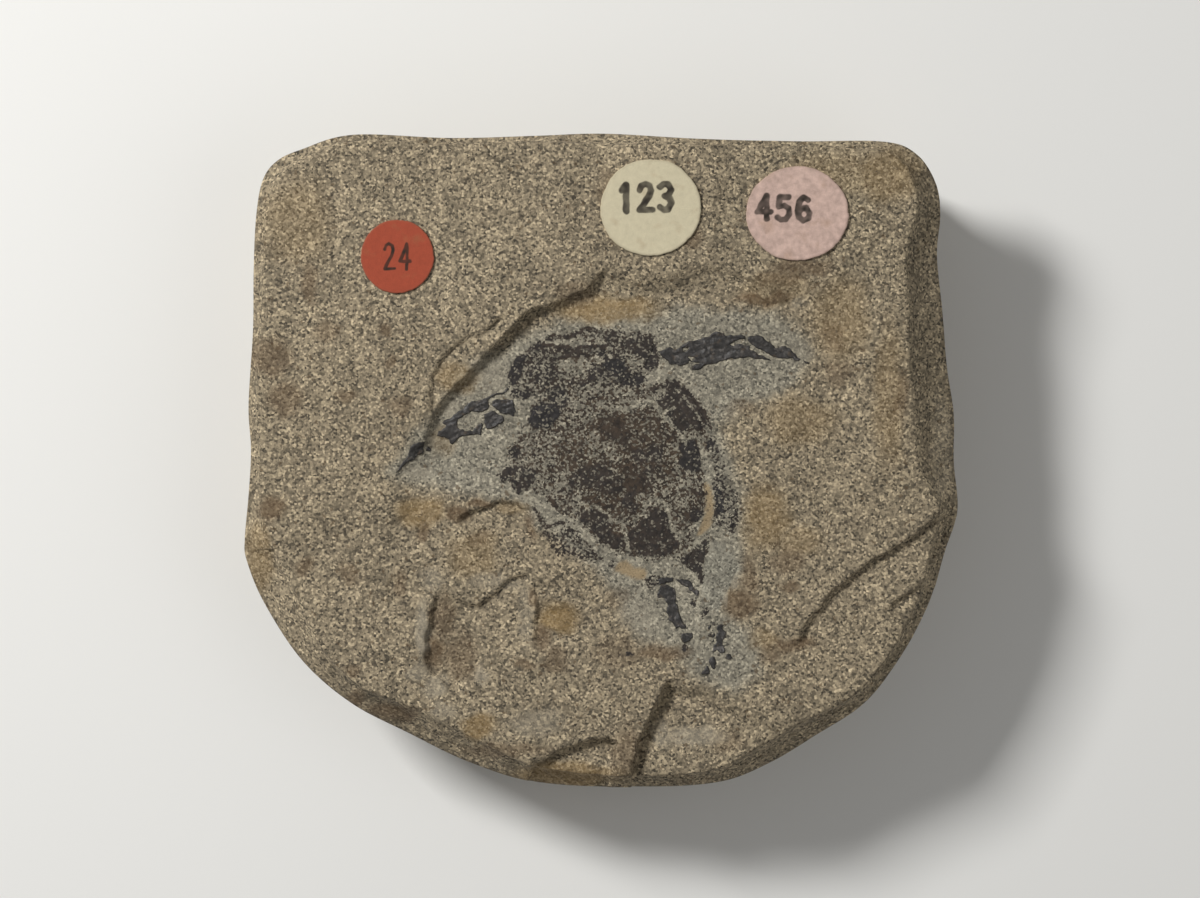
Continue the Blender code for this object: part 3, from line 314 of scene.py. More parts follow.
# The same as rounds: x, y, half width, half height, share covered and how brown it is.
FILM_SPOTS = [
    (1.2, 3.9, 1.95, 1.5, 0.92, 0.8), (2.5, 2.2, 1.3, 1.1, 0.88, 0.6), (-1.0, -1.9, 2.6, 1.3, 0.9, 0.4),
    (1.0, -2.8, 1.95, 1.3, 0.88, 0.4), (-3.1, -2.8, 0.9, 0.9, 0.86, 0.4),
    (4.2, -2.6, 1.3, 1.3, 0.92, 0.7), (3.8, -5.0, 1.1, 1.2, 0.9, 0.3), (6.8, 0.9, 1.1, 1.1, 0.82, 0.4),
    (6.6, -1.9, 1.3, 1.3, 0.8, 0.5), (4.9, 0.7, 1.1, 0.9, 0.84, 0.4), (-1.0, 2.8, 1.0, 1.1, 0.4, 1.0),
    (1.2, 1.5, 1.3, 1.0, 0.42, 0.9), (2.3, 0.4, 1.1, 0.9, 0.45, 0.9), (9.0, 0.9, 1.0, 0.9, 0.45, 1.0),
    (7.7, -3.2, 1.3, 0.9, 0.45, 0.9), (5.5, -4.8, 1.3, 0.65, 0.42, 1.0),
    (-1.4, 0.9, 0.9, 0.65, 0.5, 0.9), (2.1, -8.4, 0.9, 1.0, 0.66, 1.0), (12.0, -7.0, 0.9, 0.8, 0.9, 0.2),
    (10.1, -4.8, 1.0, 1.0, 0.38, 0.8), (-10.8, 0.9, 0.8, 0.65, 0.82, 0.2),
    (-5.3, 8.0, 1.3, 1.3, 0.75, 0.1), (13.7, 2.2, 0.5, 0.8, 0.7, 0.1), (1.3, -13.0, 0.4, 0.35, 0.9, 0.2),
    (16.5, -8.4, 0.45, 0.65, 0.9, 0.2), (5.9, 12.6, 1.4, 1.0, 0.8, 0.2), (1.7, 11.8, 1.6, 1.0, 0.85, 0.0),
    (-0.3, 11.0, 1.4, 0.8, 0.7, 0.2), (0.1, 13.2, 0.8, 0.8, 0.62, 0.2), (3.7, 10.2, 1.8, 0.8, 0.8, 0.1),
    (-5.3, 11.6, 1.0, 0.8, 0.72, 0.3), (-7.3, 10.8, 1.4, 1.2, 0.7, 0.3),
    (-8.5, 11.6, 1.2, 1.2, 0.65, 0.3), (-9.9, 8.4, 1.2, 0.6, 0.75, 0.1),
    (-3.5, 12.0, 2.0, 0.85, 0.1, 1.0), (-0.7, 12.8, 0.9, 0.55, 0.2, 1.0),
    (4.2, 12.4, 1.0, 0.5, 0.08, 1.0), (-1.1, 15.5, 1.1, 0.5, 0.3, 0.6),
    (-2.7, 10.9, 1.2, 0.55, 0.25, 0.8), (2.4, -24.2, 0.3, 0.15, 0.9, 0.2),
    (3.5, -24.1, 0.45, 0.3, 0.8, 0.2), (10.4, -23.5, 0.28, 0.32, 0.95, 0.3),
    (11.6, -24.2, 0.3, 0.2, 0.8, 0.1), (13.1, -19.0, 0.3, 0.4, 0.8, 0.2),
    (11.5, -17.9, 0.3, 0.35, 0.9, 0.2), (6.8, -15.2, 1.3, 0.8, 0.5, 0.3),
    (12.5, -14.7, 0.3, 0.5, 0.9, 0.3),
]
# Dark cracks and pale seams of the film: line, half width and strength.
DARK_LINES = [
    ([(-6.5, 15.6), (-5.9, 15.8), (-5.1, 15.5), (-3.9, 15.6), (-3.0, 16.1), (-1.9, 16.5),
      (-0.9, 16.5)], 0.16, 0.9),
    ([(-7.3, 14.4), (-6.3, 14.4), (-4.9, 14.3), (-3.5, 14.1), (-2.3, 14.2), (-0.9, 14.6),
      (0.5, 14.4)], 0.15, 0.95),
    ([(-6.3, 12.6), (-5.3, 12.8), (-4.3, 13.2), (-3.1, 13.7), (-2.1, 13.3), (-1.3, 13.2)], 0.11, 0.95),
    ([(-5.3, 14.2), (-3.9, 13.7), (-2.7, 13.8), (-1.9, 13.3)], 0.22, 0.8),
    ([(10.5, 8.9), (12.0, 7.1), (13.4, 5.5)], 0.1, 0.9),
    ([(-6.4, -4.7), (-5.3, -6.4), (-4.4, -6.9)], 0.13, 0.9),
    ([(-8.5, -6.0), (-6.8, -8.2), (-5.3, -7.8), (-4.0, -7.7), (-3.3, -8.1)], 0.13, 0.85),
    ([(-2.3, -9.9), (-1.0, -11.4), (-0.1, -12.3)], 0.13, 0.7),
    ([(2.9, 0.4), (3.4, -0.9)], 0.1, 0.8),
    ([(-7.0, -8.9), (-6.2, -10.6), (-5.3, -11.7)], 0.15, 0.75),
]
PALE_LINES = [
    ([(-0.1, 6.9), (1.6, 6.6), (3.4, 6.6), (5.1, 7.1), (6.8, 8.2), (8.1, 9.5)], 0.3, 0.6),
    ([(6.3, 7.8), (7.5, 6.3), (8.6, 5.0), (9.6, 3.7), (10.2, 2.8), (10.6, 2.2)], 0.14, 0.9),
    ([(7.7, 6.1), (9.2, 6.8)], 0.1, 0.9),
    ([(7.9, 8.9), (7.7, 8.0), (6.5, 7.7)], 0.1, 0.8),
    ([(9.4, 9.1), (10.9, 7.4), (12.1, 5.7), (13.2, 4.0), (13.6, 2.8)], 0.11, 0.7),
    ([(12.1, 3.0), (12.8, 0.4), (13.0, -1.9), (13.1, -3.2)], 0.14, 0.8),
    ([(12.6, 3.0), (13.3, 0.0), (13.7, -2.2)], 0.11, 0.7),
    ([(10.8, -1.5), (11.1, -2.1), (11.7, -1.9), (11.6, -1.3), (11.0, -1.2)], 0.1, 0.6),
    ([(-2.9, -2.6), (-2.7, -4.8), (-1.9, -5.8), (-0.5, -5.8), (1.0, -6.8)], 0.14, 0.8),
    ([(-2.7, -5.0), (-2.8, -6.4), (-4.1, -6.7)], 0.12, 0.65),
    ([(5.1, -6.3), (6.1, -5.1), (6.9, -4.6), (7.9, -5.3), (8.6, -6.7), (9.0, -8.4), (9.3, -9.3)],
     0.16, 0.75),
    ([(1.2, -7.1), (2.7, -7.8), (3.1, -9.5), (3.4, -11.5)], 0.14, 0.8),
    ([(9.4, -9.8), (10.9, -8.9), (12.9, -7.1)], 0.12, 0.8),
    ([(7.9, -12.5), (9.8, -11.8), (11.4, -10.6), (12.9, -8.2)], 0.12, 0.75),
    ([(1.0, -0.9), (2.0, -1.6)], 0.09, 0.6),
    ([(-4.9, -6.8), (-3.1, -8.4), (-1.0, -10.6), (1.2, -11.9), (3.1, -12.4), (4.9, -12.5)], 0.3, 0.9),
    ([(-8.1, -7.8), (-7.5, -9.1), (-6.5, -10.4)], 0.2, 0.5),
]

# Armour crusts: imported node, edge outline, cell.
ARMOUR = {
    "head_shield": ([
        (-11.8, 10.7), (-11.6, 11.9), (-10.8, 12.9), (-9.4, 13.7), (-8.8, 14.5), (-7.8, 15.1),
        (-6.6, 15.8), (-4.0, 15.8), (-2.4, 16.6), (0.8, 16.5), (5.6, 16.3), (6.6, 15.7),
        (6.9, 14.5), (6.3, 12.9), (5.2, 11.3), (3.2, 9.8), (0.6, 9.0), (-2.0, 8.8),
        (-5.2, 8.2), (-9.0, 8.3), (-11.0, 9.2)], 0.115),
    "trunk_armour": ([
        (6.2, 9.2), (8.0, 10.1), (10.0, 9.7), (11.6, 8.3), (12.7, 6.1), (13.0, 3.7),
        (12.9, -2.3), (13.1, -7.3), (12.1, -9.9), (11.1, -12.4), (12.0, -14.6), (10.4, -14.0),
        (7.6, -13.1), (5.4, -13.6), (4.4, -12.5), (1.6, -11.8), (-0.7, -10.0), (-2.3, -8.3),
        (-4.6, -7.0), (-6.7, -5.2), (-8.6, -4.5), (-11.2, -4.0), (-12.9, -2.5), (-13.1, -1.4),
        (-11.6, -0.2), (-11.6, 1.6), (-11.2, 3.7), (-9.2, 5.3), (-8.2, 7.0), (-5.2, 7.3),
        (-1.7, 7.9), (1.1, 8.1), (3.8, 8.7)], 0.13),
    "left_flank_plate": ([
        (-7.3, -6.1), (-5.2, -7.6), (-3.3, -9.0), (-1.4, -10.9), (0.2, -12.4), (-2.1, -12.7),
        (-4.5, -12.1), (-5.8, -10.5), (-7.0, -8.2)], 0.12),
    "right_flank_plate": ([
        (13.9, -0.8), (15.1, -2.1), (16.1, -3.6), (17.0, -4.8), (17.3, -6.7), (16.6, -8.6),
        (15.1, -9.1), (14.4, -8.5), (14.9, -6.0), (14.1, -2.9)], 0.12),
}

# Solid bones: outlines of their flakes, bare places in them, and the line they are drawn out along.
BONES = {
    "right_arm": ([
        [(7.3, 13.7), (8.7, 14.2), (9.3, 14.1), (10.2, 14.7), (11.2, 15.0), (12.2, 15.4),
         (13.2, 15.6), (13.9, 16.1), (14.5, 16.3), (15.4, 16.3), (15.5, 16.0), (16.8, 15.8),
         (17.5, 15.9), (18.24, 15.8), (18.2, 15.4), (17.2, 15.1), (16.4, 14.7), (17.7, 14.7),
         (18.7, 14.6), (18.8, 14.0), (19.3, 13.8), (19.8, 13.4), (20.7, 13.2), (21.7, 12.7),
         (20.7, 12.8), (19.1, 12.75), (18.5, 13.0), (17.6, 13.0), (16.8, 12.8), (16.1, 12.9),
         (15.3, 12.55), (14.5, 12.35), (13.9, 12.1), (12.9, 11.85), (12.0, 11.15), (11.4, 11.2),
         (11.5, 11.7), (10.5, 12.2), (9.7, 12.1), (8.7, 12.2), (7.8, 12.7)],
        [(18.5, 15.64), (18.85, 15.77), (19.6, 15.64), (20.3, 15.56), (20.5, 15.4), (21.4, 15.0),
         (21.6, 14.7), (21.9, 14.4), (23.0, 14.4), (23.5, 14.1), (23.8, 13.9), (24.5, 13.3),
         (25.0, 12.85), (24.7, 12.6), (24.1, 12.6), (23.3, 12.7), (22.7, 12.9), (21.7, 13.2),
         (20.7, 13.6), (20.0, 14.0), (19.4, 14.4), (18.8, 14.7), (18.5, 15.0)],
        [(25.2, 12.78), (25.9, 12.66), (26.62, 12.35), (25.9, 12.38), (25.3, 12.5)],
    ], [
        [(16.1, 14.6), (16.5, 14.9), (17.2, 15.05), (18.3, 15.25), (18.3, 14.9), (17.7, 14.65),
         (16.8, 14.55), (16.4, 14.4)],
        [(10.2, 14.1), (10.7, 14.4), (11.2, 14.3), (11.0, 13.9), (10.4, 13.8)],
        [(10.9, 12.9), (11.5, 13.1), (11.9, 12.8), (11.5, 12.5), (11.1, 12.5)],
        [(10.2, 12.2), (11.3, 12.3), (12.6, 12.25), (11.9, 12.1), (11.4, 11.65), (11.0, 11.9)],
    ], [(7.3, 13.0), (10.5, 13.2), (13.7, 14.4), (16.9, 15.1), (20.1, 14.6), (23.3, 13.3),
        (26.6, 12.3)], 0.085),
    "left_arm": ([
        [(-20.5, 3.2), (-19.7, 4.4), (-20.05, 4.9), (-19.5, 5.3), (-18.7, 5.6), (-18.0, 5.9),
         (-17.65, 5.4), (-18.0, 4.65), (-17.55, 4.1), (-16.4, 3.9), (-15.8, 4.3), (-14.9, 4.8),
         (-14.6, 4.4), (-15.25, 3.3), (-16.1, 3.4), (-17.0, 3.1), (-17.9, 2.8), (-18.5, 2.05),
         (-19.0, 2.2), (-19.3, 2.8), (-20.0, 2.8)],
        [(-18.1, 5.9), (-17.0, 6.85), (-16.0, 7.4), (-15.4, 7.6), (-13.9, 8.26), (-12.4, 8.7),
         (-11.7, 9.2), (-11.5, 8.9), (-12.4, 8.45), (-13.6, 7.9), (-14.2, 7.5), (-13.9, 6.95),
         (-14.0, 6.5), (-15.1, 6.3), (-16.2, 6.3), (-17.0, 5.6), (-17.75, 5.1)],
        [(-13.6, 7.4), (-12.6, 7.7), (-11.2, 7.7), (-10.8, 6.95), (-10.6, 6.0), (-11.0, 5.5),
         (-12.0, 5.9), (-13.0, 6.5), (-13.5, 6.8)],
        [(-14.9, 5.9), (-13.6, 6.3), (-12.4, 5.8), (-12.2, 5.1), (-13.2, 4.4), (-14.4, 4.0),
         (-14.5, 4.9)],
    ], [[(-17.4, 5.2), (-16.8, 5.9), (-15.7, 6.1), (-15.0, 5.7), (-15.3, 4.9), (-16.3, 4.6),
         (-17.2, 4.6)]],
        [(-20.3, 3.4), (-17.0, 4.6), (-14.0, 6.0), (-10.8, 7.4)], 0.085),
    "left_arm_tip": ([
        [(-25.95, -1.73), (-25.4, -0.8), (-24.85, -0.15), (-24.1, 1.1), (-23.6, 1.95),
         (-23.1, 2.4), (-22.3, 2.4), (-22.0, 2.15), (-22.35, 1.7), (-22.1, 1.3), (-22.55, 0.9),
         (-23.2, 0.2), (-23.9, -0.2), (-24.85, -0.95), (-25.6, -1.5)],
        [(-21.97, 1.6), (-21.6, 1.95), (-21.3, 1.6), (-21.3, 1.2), (-21.9, 1.3)],
    ], [], [(-26.0, -1.7), (-22.2, 2.3)], 0.075),
    "tail_strip": ([
        [(7.4, -15.7), (7.9, -15.5), (8.7, -15.7), (9.4, -16.25), (9.4, -17.1), (9.7, -18.0),
         (9.95, -19.1), (10.25, -20.0), (10.5, -20.65), (10.4, -21.0), (9.95, -21.1),
         (9.7, -20.85), (9.25, -21.0), (8.95, -20.7), (8.7, -20.0), (8.5, -19.3), (8.2, -18.55),
         (8.4, -18.0), (7.9, -17.3), (7.2, -17.0), (6.9, -16.4)],
        [(7.0, -15.0), (8.2, -14.6), (9.2, -14.7), (9.2, -15.3), (8.0, -15.5), (7.1, -15.6)],
    ], [], [(7.9, -15.0), (9.7, -21.2)], 0.08),
    "tail_branch": ([
        [(9.4, -14.9), (10.25, -14.7), (10.8, -14.95), (11.3, -15.4), (11.8, -15.95),
         (12.25, -16.4), (12.1, -16.85), (11.7, -16.8), (11.4, -16.4), (10.95, -15.95),
         (10.35, -15.55), (9.8, -15.2)],
    ], [], [(9.4, -14.9), (12.2, -16.7)], 0.075),
    "tail_cluster": ([
        [(14.7, -20.65), (15.15, -20.6), (15.45, -20.8), (15.4, -21.2), (15.7, -21.45),
         (15.65, -22.0), (15.4, -22.4), (15.6, -23.3), (15.4, -24.0), (15.15, -24.3),
         (14.8, -24.3), (14.5, -23.9), (13.8, -23.95), (14.05, -23.3), (14.4, -22.95),
         (14.5, -22.4), (14.4, -22.15), (14.65, -21.6), (14.55, -21.3)],
        [(13.3, -21.7), (13.7, -21.45), (14.3, -21.55), (14.35, -21.95), (13.7, -22.0),
         (13.4, -21.95)],
        [(13.5, -20.7), (13.8, -20.55), (13.85, -20.95), (13.6, -21.1)],
        [(13.9, -20.1), (14.3, -20.2), (14.35, -20.65), (14.05, -20.7)],
        [(13.8, -22.4), (14.05, -22.45), (14.05, -22.95), (13.8, -22.9)],
    ], [], [(15.1, -20.6), (14.9, -24.3)], 0.075),
    "tail_scale_1": ([
        [(9.95, -21.95), (10.2, -21.6), (10.8, -21.5), (11.4, -21.6), (11.6, -22.0),
         (11.3, -22.6), (10.8, -22.7), (10.45, -22.95), (10.1, -22.45)]],
        [], [(10.0, -22.2), (11.5, -22.1)], 0.07),
    "tail_scale_2": ([
        [(15.6, -24.55), (15.7, -24.1), (16.0, -23.95), (16.45, -24.25), (16.45, -24.7),
         (16.15, -25.0), (15.7, -24.95)]],
        [], [(16.0, -24.0), (16.0, -25.0)], 0.07),
    "tail_scale_3": ([
        [(13.6, -24.85), (14.1, -24.7), (14.35, -25.05), (14.5, -25.4), (14.35, -25.7),
         (14.4, -26.1), (14.05, -26.25), (13.8, -25.9), (13.85, -25.55)]],
        [], [(14.0, -24.8), (14.1, -26.2)], 0.07),
    "tail_scale_4": ([
        [(13.05, -25.75), (13.35, -25.7), (13.5, -26.2), (13.4, -26.8), (13.2, -27.1),
         (12.85, -27.0), (12.4, -26.6), (12.75, -26.35)]],
        [], [(13.1, -25.8), (12.9, -27.0)], 0.07),
}
ARMOUR_PROUD = 0.09        # how far the armour film stands above the stone
BONE_PROUD = 0.14
CRUST_SUNK = 0.25          # how far below the stone a crust dives where it is missing
CRUST_DEPTH = 0.55

# Plain numbers for the labels: strokes in a box one wide and 1.6 high.
DIGITS = {
    "1": [[(0.25, 1.25), (0.55, 1.6), (0.55, 0.0)]],
    "2": [[(0.08, 1.25), (0.2, 1.5), (0.5, 1.6), (0.82, 1.48), (0.9, 1.2), (0.75, 0.85), (0.1, 0.05),
           (0.95, 0.05)]],
    "3": [[(0.1, 1.4), (0.35, 1.58), (0.7, 1.55), (0.88, 1.25), (0.7, 0.92), (0.45, 0.85),
           (0.75, 0.75), (0.92, 0.45), (0.7, 0.08), (0.35, 0.02), (0.08, 0.2)]],
    "4": [[(0.7, 0.0), (0.7, 1.6), (0.05, 0.5), (0.98, 0.5)]],
    "5": [[(0.85, 1.57), (0.2, 1.57), (0.15, 0.92), (0.5, 1.0), (0.85, 0.8), (0.9, 0.4),
           (0.65, 0.06), (0.3, 0.02), (0.06, 0.2)]],
    "6": [[(0.8, 1.45), (0.5, 1.6), (0.2, 1.35), (0.08, 0.7), (0.15, 0.25), (0.45, 0.02),
           (0.8, 0.2), (0.9, 0.55), (0.65, 0.9), (0.3, 0.85), (0.1, 0.55)]],
}
# For each label: its number, left foot of the first figure, figure width and height, space,
# drop from one figure to the next, and half width of the stroke.
NUMBERS = {
    "label_orange": ("24", (-1.7, -1.6), 1.35, 3.2, 0.6, 0.0, 0.15),
    "label_cream": ("123", (-4.0, -0.4), 1.75, 3.3, 0.75, 0.05, 0.36),
    "label_pink": ("456", (-5.1, -0.7), 1.8, 2.9, 0.7, -0.12, 0.32),
}

# Broken sides: chips of the rim and sides, and the thin layers that show in them.
RIM_CHIP_DEPTH = 0.45
RIM_CHIP_REACH = 1.5       # a wider rim isn't chipped deeper than one of this width
RIM_CHIP_DROP = 0.3
SIDE_CHIP_DEPTH = 0.9
LAYER_DEPTH = 0.12
LAYER_HEIGHT = 0.55
BOX_MARGIN = 0.02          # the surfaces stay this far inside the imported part's box
GRID_MARGIN = 0.6          # stone that a crust's grid covers round its outline
LINE_EDGE = 0.15           # over which a crack or seam of the film fades
MARK_EDGE = 0.2            # over which a small mark falls
HALO_EDGE = 2.4
CLEAN_EDGE = 0.4
TAN_EDGE = 0.3
HALO_SHARE = 0.8           # how clean the stone is in the halo, 1 in the clean patch
SPOT_REACH = (1.3, 0.5)    # a spot of film ends at this share of its size, over this share
STAIN_REACH = (1.5, 0.9)   # the same for a stain
STAIN_DEPTH = 4.0          # marks of the split face don't run further down the sides

# Crusts: how they end, their unevenness, and the streaks along the bones.
ARMOUR_LEAST = 0.012       # how far armour stands above the stone where no film is left
ARMOUR_UNEVEN = [(0.5, 0.03, 91)]
ARMOUR_EDGE = 0.3
ARMOUR_REACH = 0.35
BONE_UNEVEN = [(0.45, 0.035, 96)]
BONE_EDGE = (0.05, 0.14)
BONE_REACH = 0.3
STREAK_LENGTH = 2.5
STREAK_WIDTH = 0.28
STREAK_HEIGHT = 0.05

# Labels: how the paper is cut and waves, and how the ink lies on it.
PAPER_TRIM = 0.99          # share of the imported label's size
PAPER_NICKS = 0.006
PAPER_ROUNDING = 0.06
PAPER_RIM = 0.025          # share of the radius over which the edge is rounded
PAPER_SUNK = 0.1
PAPER_WAVES = [(0.8, 0.012, 93), (3.0, 0.02, 94)]
INK_RAGGED = [(0.7, 0.07, 97)]
INK_WORN = [(0.5, 1.0, 98)]
INK_STRENGTH = (0.86, 0.14)
INK_EDGE = 0.12
BONE_RAGGED = [(0.9, 0.22, 75), (0.35, 0.12, 76)]
DIGIT_HEIGHT = 1.6

# Patterns of the materials.  Grain and cloud sizes are in mm, clouds with their detail.
SMALL_GRAIN = 0.55         # size of the fines between the grains, as a share of a grain
FILM_GRAINS = {"cool": 0.33, "warm": 0.4, "film": 0.24}
STONE_CLOUDS = {"blotch": (2.6, 2.0), "drift": (9.0, 2.0), "speck": (0.9, 3.0),
                "patchy": (1.1, 2.0), "relief": (0.7, 3.0)}
STONE_TONES = [("blotch", 0.55, 0.72), ("drift", 0.36, 0.82), ("small", 0.36, 0.82)]
BONE_GRAINS = (0.3, 0.22)
BONE_CLOUDS = (0.8, 0.3)
PAPER_CLOUDS = ((0.7, 4.0), (0.12, 2.0), (2.2, 3.0), (0.15, 3.0))
MOTTLING = {"orange_paper": 0.3, "cream_paper": 0.3, "pink_paper": 1.0}

# Shades of the grains: share of the grains below it, and how much lighter or darker.
STONE_STOPS = [(0.0, 0.2), (0.14, 0.5), (0.45, 0.95), (0.8, 1.4), (1.0, 2.3)]
HALO_STOPS = [(0.0, 0.35), (0.12, 0.68), (0.45, 1.0), (0.8, 1.3), (1.0, 1.9)]
BONE_STOPS = [(0.0, 0.45), (0.5, 1.0), (0.85, 1.5), (1.0, 3.2)]
# The brown look is both the colour of iron stains and painted shade along ledges and cracks.
STAIN_AND_SHADE_LOOKS = {"gold": (0.7, "907445"), "brown": (0.85, "5D472E"), "pale": (0.75, "A39985"),
               "tan": (1.0, "978465")}

# Stage, in mm but for the floor, which is in metres.
CAMERA_DISTANCE = 680.0
PHOTO_WIDTH = 150.6        # width of the photo at the bedding plane
SENSOR_WIDTH = 36.0
FLOOR_REACH = 1.5


def smooth_step(value):
    """Ease from 0 to 1, flat at both ends."""
    t = np.clip(value, 0.0, 1.0)
    return t * t * (3.0 - 2.0 * t)


def soft_noise(x, y, seed):
    """Random values on a square lattice, eased between its points, from -1 to 1."""
    lattice = np.random.default_rng(seed).uniform(-1.0, 1.0, (64, 64))
    column = np.floor(x).astype(int)
    row = np.floor(y).astype(int)
    across = smooth_step(x - column)
    along = smooth_step(y - row)
    low = lattice[row % 64, column % 64] * (1 - across) \
        + lattice[row % 64, (column + 1) % 64] * across
    high = lattice[(row + 1) % 64, column % 64] * (1 - across) \
        + lattice[(row + 1) % 64, (column + 1) % 64] * across
    return low * (1 - along) + high * along


def smooth_line(points, closed, steps=6):
    """Catmull-Rom curve through the points, as rows of the same columns."""
    knots = np.array(points, dtype=float)
    if closed:
        before, after, last = np.roll(knots, 1, 0), np.roll(knots, -1, 0), np.roll(knots, -2, 0)
    else:
        padded = np.vstack([2 * knots[0] - knots[1], knots, 2 * knots[-1] - knots[-2]])
        before, knots, after, last = padded[:-3], padded[1:-2], padded[2:-1], padded[3:]
    pieces = []
    for step in range(steps):
        t = step / steps
        pieces.append(0.5 * (2 * knots + (after - before) * t
                             + (2 * before - 5 * knots + 4 * after - last) * t * t
                             + (3 * knots - before - 3 * after + last) * t ** 3))
    curve = np.stack(pieces, axis=1).reshape(-1, knots.shape[1])
    return curve if closed else np.vstack([curve, after[-1]])


def line_distance(x, y, line, closed=False):
    """Distance to a line, positive on its right, and the place along it from 0 to 1."""
    start = line if closed else line[:-1]
    run = (np.roll(line, -1, 0) if closed else line[1:]) - start
    off_x = x[..., None] - start[:, 0]
    off_y = y[..., None] - start[:, 1]
    length = np.maximum((run ** 2).sum(axis=1), 1e-9)
    share = np.clip((off_x * run[:, 0] + off_y * run[:, 1]) / length, 0.0, 1.0)
    gap_x = off_x - share * run[:, 0]
    gap_y = off_y - share * run[:, 1]
    gap = np.hypot(gap_x, gap_y)
    nearest = gap.argmin(axis=-1)[..., None]
    side = np.where(off_x * run[:, 1] > off_y * run[:, 0], 1.0, -1.0)
    distance = np.take_along_axis(gap * side, nearest, -1)[..., 0]
    place = (nearest[..., 0] + np.take_along_axis(share, nearest, -1)[..., 0]) / len(start)
    return distance, place


def blend_spots(x, y, spots):
    """Value between scattered spots, each weighing by its closeness."""
    weight_sum = 0.0
    value_sum = 0.0
    for spot_x, spot_y, value in spots:
        weight = 1.0 / ((x - spot_x) ** 2 + (y - spot_y) ** 2 + 4.0) ** 2
        weight_sum = weight_sum + weight
        value_sum = value_sum + weight * value
    return value_sum / weight_sum


BASIN_LINE = smooth_line(BASIN_EDGE, closed=True, steps=3)
LEDGE_LINES = {name: smooth_line(ledge[0], closed=False, steps=4)
               for name, ledge in LEDGES.items()}


def split_face(x, y):
    """Height of the split upper face of the stone, in mm, without the rim."""
    inside, _ = line_distance(x, y, BASIN_LINE, closed=True)
    sharp = smooth_step((LEDGE_HALF_WIDTH - inside) / (2 * LEDGE_HALF_WIDTH))
    slow = smooth_step((SLOPE_WIDTH / 2 - inside) / SLOPE_WIDTH)
    share = blend_spots(x, y, EDGE_SHARPNESS)
    height = blend_spots(x, y, OUTER_LEVELS) * (share * sharp + (1 - share) * slow)
    for name, (_, depth, reach, fade) in LEDGES.items():
        distance, place = line_distance(x, y, LEDGE_LINES[name])
        line = LEDGE_LINES[name]
        length = np.hypot(*np.diff(line, axis=0).T).sum()
        ends = smooth_step(place * length / fade) * smooth_step((1 - place) * length / fade)
        fallen = smooth_step((distance + LEDGE_HALF_WIDTH) / (2 * LEDGE_HALF_WIDTH))
        height = height - depth * ends * fallen * np.exp(-np.maximum(distance, 0) / reach)
    calm = smooth_step(np.hypot(x - 1.0, y) / 30.0)
    for size, swell, seed in SWELLS:
        height = height + swell * soft_noise(x / size + 40, y / size + 40, seed) \
            * (CALM_OVER_FISH + (1 - CALM_OVER_FISH) * calm)
    dome_x, dome_y, radius, rise = TRUNK_DOME
    height = height + rise * smooth_step(1 - np.hypot(x - dome_x, y - dome_y) / radius)
    return BED_HEIGHT + height


def stone_top(x, y):
    """Height of the upper face, made level under each label."""
    height = split_face(x, y)
    for label_x, label_y, half_width, _, _ in LABELS.values():
        level = split_face(np.array([label_x]), np.array([label_y]))[0]
        away = np.hypot(x - label_x, y - label_y) - half_width - LABEL_FLAT_MARGIN
        height = level + (height - level) * smooth_step(away / 3.0)
    return height


def rim_stations(cells):
    """Silhouette at even steps from corner to corner: x, y, rim width and rim fall."""
    curve = smooth_line(SLAB_OUTLINE, closed=True, steps=12)
    sums = curve[:, 0] + curve[:, 1]
    differences = curve[:, 0] - curve[:, 1]
    corners = [differences.argmin(), sums.argmax(), differences.argmax(), sums.argmin()]
    sides = []
    for corner, following in zip(corners, corners[1:] + corners[:1]):
        count = (following - corner) % len(curve)
        stretch = curve[(corner + np.arange(count + 1)) % len(curve)]
        travelled = np.concatenate([[0.0], np.cumsum(np.hypot(*np.diff(stretch[:, :2], axis=0).T))])
        even = np.linspace(0.0, travelled[-1], cells + 1)[:-1]
        sides.append(np.stack([np.interp(even, travelled, column) for column in stretch.T], axis=1))
    return np.vstack(sides)


def slab_rim():
    """Dense silhouette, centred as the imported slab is."""
    packed = rim_stations(PACKED_CELLS)
    rim = rim_stations(TOP_CELLS)
    rim[:, :2] -= (packed[:, :2].max(axis=0) + packed[:, :2].min(axis=0)) / 2
    return rim


def side_inset(x, y, share):
    """How far the broken side is eaten in, from its widest line to its foot."""
    inset = SIDE_TAPER * share
    for size, depth, drift, seed in SIDE_BREAKS:
        inset = inset + depth * (1 + soft_noise(x / size + drift * share, y / size, seed)) / 2
    bedding = BEDDING_DEPTH * (1 + soft_noise(share * BEDDING_LAYERS, 0.0 * x, 26)) / 2
    return (inset + bedding) * smooth_step(share / 0.3)


def outward(rim):
    """Unit vectors that point out of the silhouette."""
    run = np.roll(rim[:, :2], -1, 0) - np.roll(rim[:, :2], 1, 0)
    run /= np.hypot(*run.T)[:, None]
    return np.stack([-run[:, 1], run[:, 0]], axis=1)

def srgb(code):
    """Linear red, green and blue of a hex colour as it looks on a screen."""
    parts = [int(code[place:place + 2], 16) / 255 for place in (0, 2, 4)]
    return tuple(part / 12.92 if part <= 0.04045 else ((part + 0.055) / 1.055) ** 2.4
                 for part in parts)


def shade(look, factor=1.0):
    """A colour as a material takes it, from a hex code or a setting, lighter or darker by a factor."""
    parts = srgb(look) if isinstance(look, str) else tuple(look)
    return (*(min(part * factor, 1.0) for part in parts), 1.0)


def colour(label, code, text):
    """A colour setting."""
    return FloatVectorProperty(name=label, description=text, subtype="COLOR", size=3,
                               min=0.0, max=1.0, default=srgb(code))


